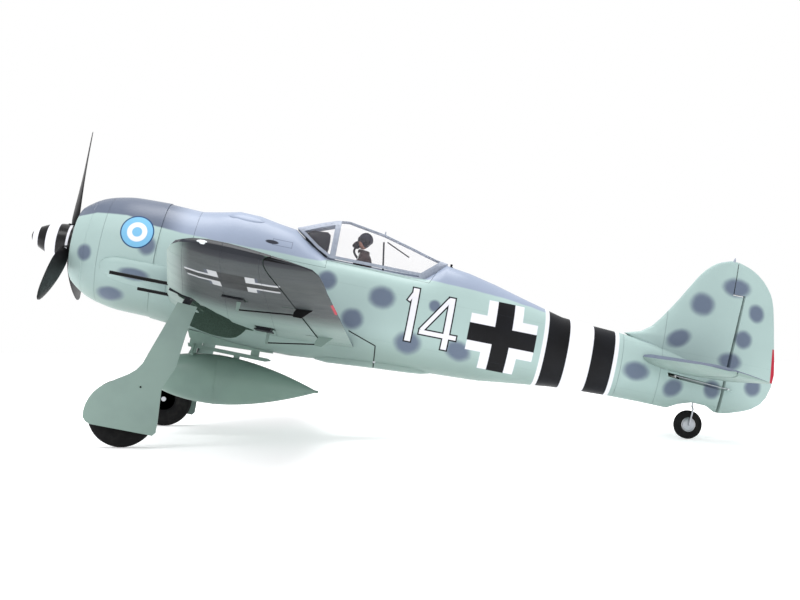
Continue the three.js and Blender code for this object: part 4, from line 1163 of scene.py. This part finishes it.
def drop_tank():
    axis = TANK_TAIL - TANK_NOSE
    nose = [TANK_WIDEST * (1 - math.cos(math.pi / 2 * k / 24)) for k in range(25)]
    rear = list(np.linspace(TANK_WIDEST, axis.length, 30))[1:]
    profile = [(a, max(tank_radius(a), 0.15)) for a in nose + rear] + [(axis.length, 0.15)]
    piece = make("tank_shell", *turned(profile, TANK_NOSE, axis), "store", "airframe", "foam_wing")
    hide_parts("drop_tank")
    seams = []
    for along in (30.0, 119.0):
        radius = tank_radius(along)
        ring = [(along - 1.2, radius - 1), (along - 0.9, radius + 0.45), (along + 0.9, radius + 0.45)]
        seams.append(turned([*ring, (along + 1.2, radius - 1), (along - 1.2, radius - 1)], TANK_NOSE, axis))
    make("tank_seams", *joined(seams), "store", "airframe", "foam_wing")


# ------------------------------------------------------------------------ canopy
FRAME_THICKNESS = 2.3
FRAME_PROUD = 0.9


def aboard(name, shape, material, slot="foam_top", *more):
    """A piece that lifts off with the hatch."""
    return make(name, *shape, material, "hatch", slot, *more)


def canopy_point(x, angle, out=0.0):
    """A point of the canopy at a distance aft, with the angle from starboard over the top."""
    base, top, half = at(CANOPY_STATIONS, x)
    side, height = math.cos(angle), max(math.sin(angle), 0.0)
    return (x, (half + out) * power(side, 0.8), base + (top - base + out) * height**0.9)


def canopy_sheet(rows, thickness, out=0.0):
    """A curved sheet over part of the canopy, from rows of (distance aft, angles)."""
    rings = []
    for x, angles in rows:
        outer = [craft(*canopy_point(x, a, out)) for a in angles]
        inner = [craft(*canopy_point(x, a, out - thickness)) for a in angles]
        rings.append([*outer, *inner[::-1]])
    return loft(rings)


def canopy_angle(x, z):
    """The angle at which the canopy reaches a height, on the starboard side."""
    base, top, _ = at(CANOPY_STATIONS, x)
    share = min(max((z - base) / max(top - base, 0.1), 0.0), 1.0)
    return math.asin(share ** (1 / 0.9))


def canopy_strip(xs, low, high):
    """Frame members on both sides, between two heights that depend on the distance aft."""
    rows = [(x, spaced(canopy_angle(x, low(x)), canopy_angle(x, high(x)), 6)) for x in xs]
    port = [(x, [math.pi - a for a in angles]) for x, angles in rows]
    return [canopy_sheet(side, FRAME_THICKNESS, FRAME_PROUD) for side in (rows, port)]


def canopy_base(x):
    return at(CANOPY_STATIONS, x)[0]


def canopy_top(x):
    return at(CANOPY_STATIONS, x)[1]


def dome(place, outward):
    profile = [(-0.6, 0.9), (0.15, 0.9), (0.5, 0.675), (0.72, 0.27), (0.75, 0.05)]
    return turned(profile, place, outward, 8)


def rear_skirt(side):
    """Closes the gap between the rear of the canopy and the rising deck."""
    section = ((0.9, 3), (0.9, -13), (-2, -13), (-2, 3))
    rings = []
    for x in spaced(644, 690, 24):
        base, _, half = at(CANOPY_STATIONS, x)
        rings.append([craft(x, side * (half + out), base + up) for out, up in section])
    return loft(rings)


def canopy_rivets():
    places = [(x, canopy_base(x) + 2.6) for x in np.arange(506, 642, 8.5)]
    places += [(496.5, z) for z in np.arange(64, 120, 7.0)]
    places += [(x, canopy_top(x) - 5.5) for x in np.arange(440, 490, 9.0)]
    places += [(646 + 1.15 * k, 56.5 + k) for k in np.arange(3, 30, 5.0)]
    parts = []
    for x, z in places:
        starboard = canopy_angle(x, z)
        for angle in (starboard, math.pi - starboard):
            place = canopy_point(x, angle, FRAME_PROUD)
            parts.append(dome(place, Vector(canopy_point(x, angle, 3.0)) - Vector(place)))
    return parts


def canopy_frames(angles):
    """Two arches, the sills, the ridge and the rear fairing."""
    strips = [
        (431, 494, 20, canopy_base, lambda x: canopy_base(x) + 5.5),
        (500, 652, 30, canopy_base, lambda x: canopy_base(x) + 5.0),
        (434, 494, 16, lambda x: canopy_top(x) - 9.5, lambda x: canopy_top(x) - 1.0),
        (501, 690, 40, lambda x: canopy_top(x) - 1.1, canopy_top),
        (640, 690, 26, canopy_base, lambda x: 56 + (x - 640) * 0.87),
    ]
    frames = []
    for start, end, count in ((492, 501, 5), (431, 437, 3)):
        arch = [(x, angles) for x in spaced(start, end, count)]
        frames.append(canopy_sheet(arch, FRAME_THICKNESS, FRAME_PROUD))
    for start, end, count, low, high in strips:
        frames += canopy_strip(spaced(start, end, count), low, high)
    return frames + [rear_skirt(sign) for sign in SIDES.values()]


def canopy():
    angles = spaced(0.0, math.pi, 61)
    stations = [row[0] for row in CANOPY_STATIONS]
    xs = sorted(set(stations + spaced(stations[0], stations[-1], 61)))
    shell = canopy_sheet([(x, angles) for x in xs], 1.2)
    piece = aboard("canopy_shell", shell, "glass", "clear_canopy", 40)
    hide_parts("canopy_glass")
    aboard("canopy_frame", joined(canopy_frames(angles)), "frame", "foam_top", 40)
    aboard("canopy_rivets", joined(canopy_rivets()), "frame", "foam_top", 60)


def cockpit():
    """What stands under the canopy apart from the pilot, and the aerial on its ridge."""
    struts = [tube([(577, 0, 103), (585, 0, 53)], 1.5), tube([(583, 0, 104), (624, 0, 86)], 1.1)]
    aboard("head_armour_struts", joined(struts), "dark")
    stub = [(0, 2.2), (1.0, 2.2), (2.2, 1.1), (6.5, 0.8), (7.0, 0.1)]
    aboard("aerial_post", turned(stub, (577, 0, 114.5), (0, 0, 1), 20), "frame")
    outline = ((447, 74), (447, 92), (458, 97), (482, 99), (487, 95), (487, 60), (470, 58))
    hood = [[craft(x, y, z) for x, z in outline] for y in spaced(-24, 24, 9)]
    aboard("instrument_hood", loft(hood), "dark")
    dial = [(-1, 3.4), (0.8, 3.4), (0.9, 2.9), (0.3, 2.8), (0.3, 0.1)]
    places = ((-13, 84), (-4.5, 87), (4.5, 87), (13, 84), (-9, 75), (0, 77), (9, 75))
    dials = [turned(dial, (487, y, z), (1, 0, 0), 24) for y, z in places]
    aboard("instrument_dials", joined(dials), "grey")


# ------------------------------------------------------------------------ pilot
POLE_RADIUS = 0.004 * MM
EGG_RINGS = 18
# [height, half depth, half width, distance aft]
TORSO_STATIONS = [
    (53, 12, 21, 552),
    (60, 12.5, 23.5, 552),
    (66, 12, 24, 551),
    (71, 11, 22, 550),
    (75, 9.5, 17, 549),
    (78, 8, 11, 548),
    (80.5, 7, 8, 547.5),
]


def egg(centre, radii, shape=None):
    """A closed round form with a radius along each axis, bent by an optional function."""
    spokes = circle(28)
    points = []
    for i in range(EGG_RINGS + 1):
        tilt = math.pi * i / EGG_RINGS
        ring = []
        for c, s in spokes:
            unit = (math.sin(tilt) * c or 1e-5, math.sin(tilt) * s, math.cos(tilt))
            offset = Vector([u * r for u, r in zip(unit, radii)])
            if shape:
                offset = shape(offset)
            ring.append(craft(*(Vector(centre) + offset)))
        points.append(ring)
    for k in (0, -1):
        middle = sum(points[k], Vector()) / len(spokes)
        points[k] = [middle + Vector((c, s, 0)) * POLE_RADIUS for c, s in spokes]
    return loft(points)


def torso_rings():
    rings = []
    for z, deep, wide, x in smooth_curve(TORSO_STATIONS, 3):
        around = [(deep * power(c, 0.85), wide * power(s, 0.85)) for c, s in circle(32)]
        rings.append([craft(x + aft, y, z) for aft, y in around])
    return rings


def brow(offset):
    """Draws the helmet in towards its lower edge."""
    if offset.z < -3:
        offset.x *= 1 + 0.03 * offset.z
    return offset


def pilot():
    body = aboard("pilot_jacket", loft(torso_rings()), "jacket", "figure")
    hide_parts("pilot_figure")
    arms = [tube([(550, y, 70), (545, y * 1.08, 62), (532, y * 0.85, 56)], 5.2, 14) for y in (-20, 20)]
    aboard("pilot_sleeves", joined(arms), "jacket", "figure", 35, 1)
    collar = [(-4, 8.4), (-3, 10.2), (0.5, 10.4), (2.6, 9.2), (2.8, 8.0), (-4, 7.8)]
    aboard("pilot_collar", turned(collar, (547, 0, 80), (0.1, 0, 1), 40), "headrest", "figure")
    straps = [tube([(541, y, 79), (539.6, y * 1.3, 72), (539.2, y * 1.3, 62)], 1.3, 8) for y in (-6, 6)]
    aboard("pilot_straps", joined(straps), "nylon", "figure")
    aboard("pilot_face", egg((543.5, 0, 95.5), (9.6, 8.6, 11.5)), "face", "figure")
    aboard("pilot_helmet", egg((546.5, 0, 99.5), (12.6, 11.6, 13.6), brow), "helmet", "figure")
    cup = [(-2, 5.5), (1.2, 5.2), (2.2, 3.8), (2.6, 0.1)]
    cups = [turned(cup, (549, y, 96), (0, y, 0), 24) for y in (-9.6, 9.6)]
    aboard("pilot_ear_cups", joined(cups), "black", "figure")
    mask = [egg((533.8, 0, 89.5), (6.4, 5.6, 6.6)), egg((529.2, 0, 88), (3.4, 3.6, 3.8))]
    hose = smooth_curve([(531.5, 0, 85), (530.5, 0, 78), (535, 0, 71), (541, 0, 66)], 5)
    aboard("pilot_mask", joined([*mask, tube(hose, 1.9, 12)]), "black", "figure")
    goggles()


def goggles():
    rim = [(-1.6, 3.9), (0.9, 3.9), (1.2, 3.4), (0.2, 3.1), (-1.6, 3.0)]
    lens = [(-0.4, 3.2), (0.3, 2.6), (0.6, 1.2), (0.7, 0.1)]
    eyes = [((534.8, y, 99.5), (-1, 0.25 * y / 4.2, 0)) for y in (-4.2, 4.2)]
    rims, lenses = ([turned(part, *eye, 24) for eye in eyes] for part in (rim, lens))
    turns = spaced(0.45, math.pi - 0.2, 16)
    for sign in (1, -1):
        band = [(543.5 - 10.2 * math.cos(t), sign * 11.4 * math.sin(t), 100) for t in turns]
        rims.append(tube(band, 1.1, 8))
    aboard("pilot_goggles", joined(rims), "black", "figure")
    aboard("pilot_lenses", joined(lenses), "lens", "figure")


# ------------------------------------------------------------------------ details on the skin
# [distance aft, drop below the belly, half width]
BELLY_STATIONS = [(500, 1, 20), (520, 4.5, 27), (600, 5, 27), (660, 4.4, 24), (680, 3.4, 18), (694, 0.4, 9)]


def side_reach(x, z):
    """How far out the cowl or the fuselage is at a distance aft and a height."""
    if x < 218:
        return math.sqrt(max(cowl_radius(x) ** 2 - z * z, 1.0))
    top, bottom, half, middle, upper, lower = at(FUSELAGE_STATIONS, x)
    reach, curve = (top - middle, upper) if z > middle else (middle - bottom, lower)
    return half * max(1 - abs((z - middle) / reach) ** curve, 0.0) ** (1 / curve)


def cheek(side):
    """The long bulge beside the engine that runs back into the wing root."""
    rings = []
    for x in [134, 135, 137, 140, 145, 152, 162, 172, 182, 192, 202, 212, 222, 230, 238, 244]:
        front = math.sqrt(max(1 - (1 - min((x - 134) / 34, 1)) ** 2, 0.0))
        back = 1 - min(max((x - 200) / 46, 0.0), 1.0) ** 2
        half = 1.5 + 17.5 * front + 4 * min(max((x - 150) / 100, 0.0), 1.0)
        middle = -29 - 0.05 * (x - 137)
        ring = []
        for t in spaced(-1, 1, 21):
            z = middle + half * t
            out = 9.0 * front * back * (1 - abs(t) ** 2.6) ** 0.7
            ring.append(craft(x, side * (side_reach(x, z) + out - 0.6 * (abs(t) > 0.99)), z))
        inner = [middle + half * t for t in (0.9, 0, -0.9)]
        rings.append(ring + [craft(x, side * (side_reach(x, z) - 4), z) for z in inner])
    points, faces = loft(rings)
    return points, [face[::-1] for face in faces] if side > 0 else faces


def deck_height(x, y):
    top, _, half, middle, upper, _ = at(FUSELAGE_STATIONS, x)
    return middle + (top - middle) * max(1 - abs(y / half) ** upper, 0.0) ** (1 / upper)


def blister(side):
    steps = [-1 + k / 6 for k in range(13)]
    below = deck_height(346, 40) - 12
    rings = []
    for t in steps:
        x = 346 + 30 * t
        width = 11.5 * math.sqrt(max(1 - t * t, 0.01))
        ring = []
        for a in steps:
            y = side * (37 + width * a)
            rise = 2.4 * (1 - t * t) ** 0.6 * (1 - a * a) ** 0.6
            ring.append(craft(x, y, deck_height(x, y) + rise - (abs(a) > 0.99)))
        rings.append(ring + [craft(x, side * (37 + width * a), below) for a in (0.6, 0, -0.6)])
    return loft(rings)


def belly_fairing():
    rings = []
    for x, drop, half in BELLY_STATIONS:
        bottom = at(FUSELAGE_STATIONS, x)[1]
        ring = []
        for a in spaced(0, math.pi, 17):
            depth = (6 + drop) * power(math.sin(a), 0.35)
            ring.append(craft(x, half * math.cos(a), bottom + 6 - depth))
        rings.append(ring + [craft(x, y, bottom + 12) for y in (-half * 0.9, half * 0.9)])
    return loft(rings)


def screw(place, outward, radius):
    head = [(-1.5, 1), (0.25, 1), (0.6, 0.85), (0.65, 0.4), (0.1, 0.32)]
    profile = [(along, radius * share) for along, share in head] + [(0.1, 0.05)]
    return turned(profile, place, outward, 20)


def skin_details():
    for side, sign in SIDES.items():
        make(f"cheek_bulge_{side}", *cheek(sign), "fuselage", "airframe", "foam_side", 60)
        make(f"gun_blister_{side}", *blister(sign), "fuselage", "hatch", "foam_top", 60)
        lamp = egg((360, sign * 744.5, -2.5), (8.5, 6.0, 3.6))
        make(f"tip_light_{side}", *lamp, "lens", "airframe", "clear_canopy")
        seat = [screw((598, sign * (side_reach(598, -98) + 0.2), -98), (0, sign, -0.35), 2.4)]
        make(f"fairing_screw_{side}", *joined(seat), "steel", "airframe", "steel")
        place = (263, sign * 280.0, -197)
        make(f"door_screw_{side}", *screw(place, (0, sign, 0), 1.5), "black", f"gear_leg_{side}", "steel")
    make("belly_fairing", *belly_fairing(), "fuselage", "airframe", "foam_side", 60)
    knob = [(0, 3.0), (1.2, 3.0), (2.0, 1.6), (4.4, 2.2), (5.4, 2.0), (6.0, 0.1)]
    make("hatch_latch", *turned(knob, (697, 0, 83), (0, 0, 1), 24), "black", "airframe", "black_plastic")
    post = [(-2, 3.2), (4, 2.6), (9, 1.2), (10.5, 0.8), (11, 0.1)]
    make("fin_aerial", *turned(post, (1174, 0, 184), (0.1, 0, 1), 20), "frame", "airframe", "foam_side")


# ------------------------------------------------------------------------ setting
CAMERA_PLACE = (-0.14005, -2.14945, 0.15321)
CAMERA_YAW = math.radians(3.34)
CAMERA_PITCH = math.radians(2.05)
CAMERA_ROLL = math.radians(0.62)
CAMERA_LENS = 57.4
FLOOR_RADIUS = 14.0


def camera():
    data = bpy.data.cameras.new("camera")
    data.sensor_width = 36.0
    data.lens = CAMERA_LENS
    piece = add_object("camera", data)
    cosine = math.cos(CAMERA_PITCH)
    forward = Vector((math.sin(CAMERA_YAW) * cosine, math.cos(CAMERA_YAW) * cosine, math.sin(CAMERA_PITCH)))
    level = Vector((math.cos(CAMERA_YAW), -math.sin(CAMERA_YAW), 0.0))
    upright = level.cross(forward)
    right = level * math.cos(CAMERA_ROLL) + upright * math.sin(CAMERA_ROLL)
    above = upright * math.cos(CAMERA_ROLL) - level * math.sin(CAMERA_ROLL)
    turn = Matrix((right, above, -forward)).transposed().to_4x4()
    piece.matrix_world = Matrix.Translation(CAMERA_PLACE) @ turn
    bpy.context.scene.camera = piece


def area_light(name, place, size, power_watts):
    data = bpy.data.lights.new(name, "AREA")
    data.shape = "DISK"
    data.size = size
    data.energy = power_watts
    light = add_object(name, data)
    light.location = place
    light.rotation_mode = "QUATERNION"
    light.rotation_quaternion = (Vector((0, 0, 0.15)) - Vector(place)).to_track_quat("-Z", "Y")


def floor():
    points = [Vector((FLOOR_RADIUS * c, FLOOR_RADIUS * s, -0.0002)) for c, s in circle(64)]
    mesh = bpy.data.meshes.new("floor")
    mesh.from_pydata(points, [], [tuple(range(len(points)))])
    paint = Paint("studio_floor")
    speckle = paint.noise(6.0, 2.0) * 0.3
    paint.finish(paint.mix(speckle, tone(248, 248, 249), tone(243, 243, 245)), 0.7)
    paint.shader.inputs["Emission Color"].default_value = (1.0, 1.0, 1.0, 1.0)
    paint.shader.inputs["Emission Strength"].default_value = 0.32
    mesh.materials.append(paint.material)
    piece = add_object("floor", mesh)


def surroundings():
    scene = bpy.context.scene
    world = bpy.data.worlds.new("studio")
    world.use_nodes = True
    world.node_tree.nodes["Background"].inputs["Color"].default_value = (1.0, 1.0, 1.0, 1.0)
    world.node_tree.nodes["Background"].inputs["Strength"].default_value = 1.0
    scene.world = world
    scene.view_settings.view_transform = "Standard"
    area_light("key", (-1.5, -1.9, 3.0), 1.4, 30.0)
    area_light("overhead", (0.1, 0.5, 2.6), 1.6, 54.0)


camera()
surroundings()
floor()
dress_nodes()
spinner()
propeller()
cowling()
wheels()
drop_tank()
canopy()
cockpit()
pilot()
skin_details()
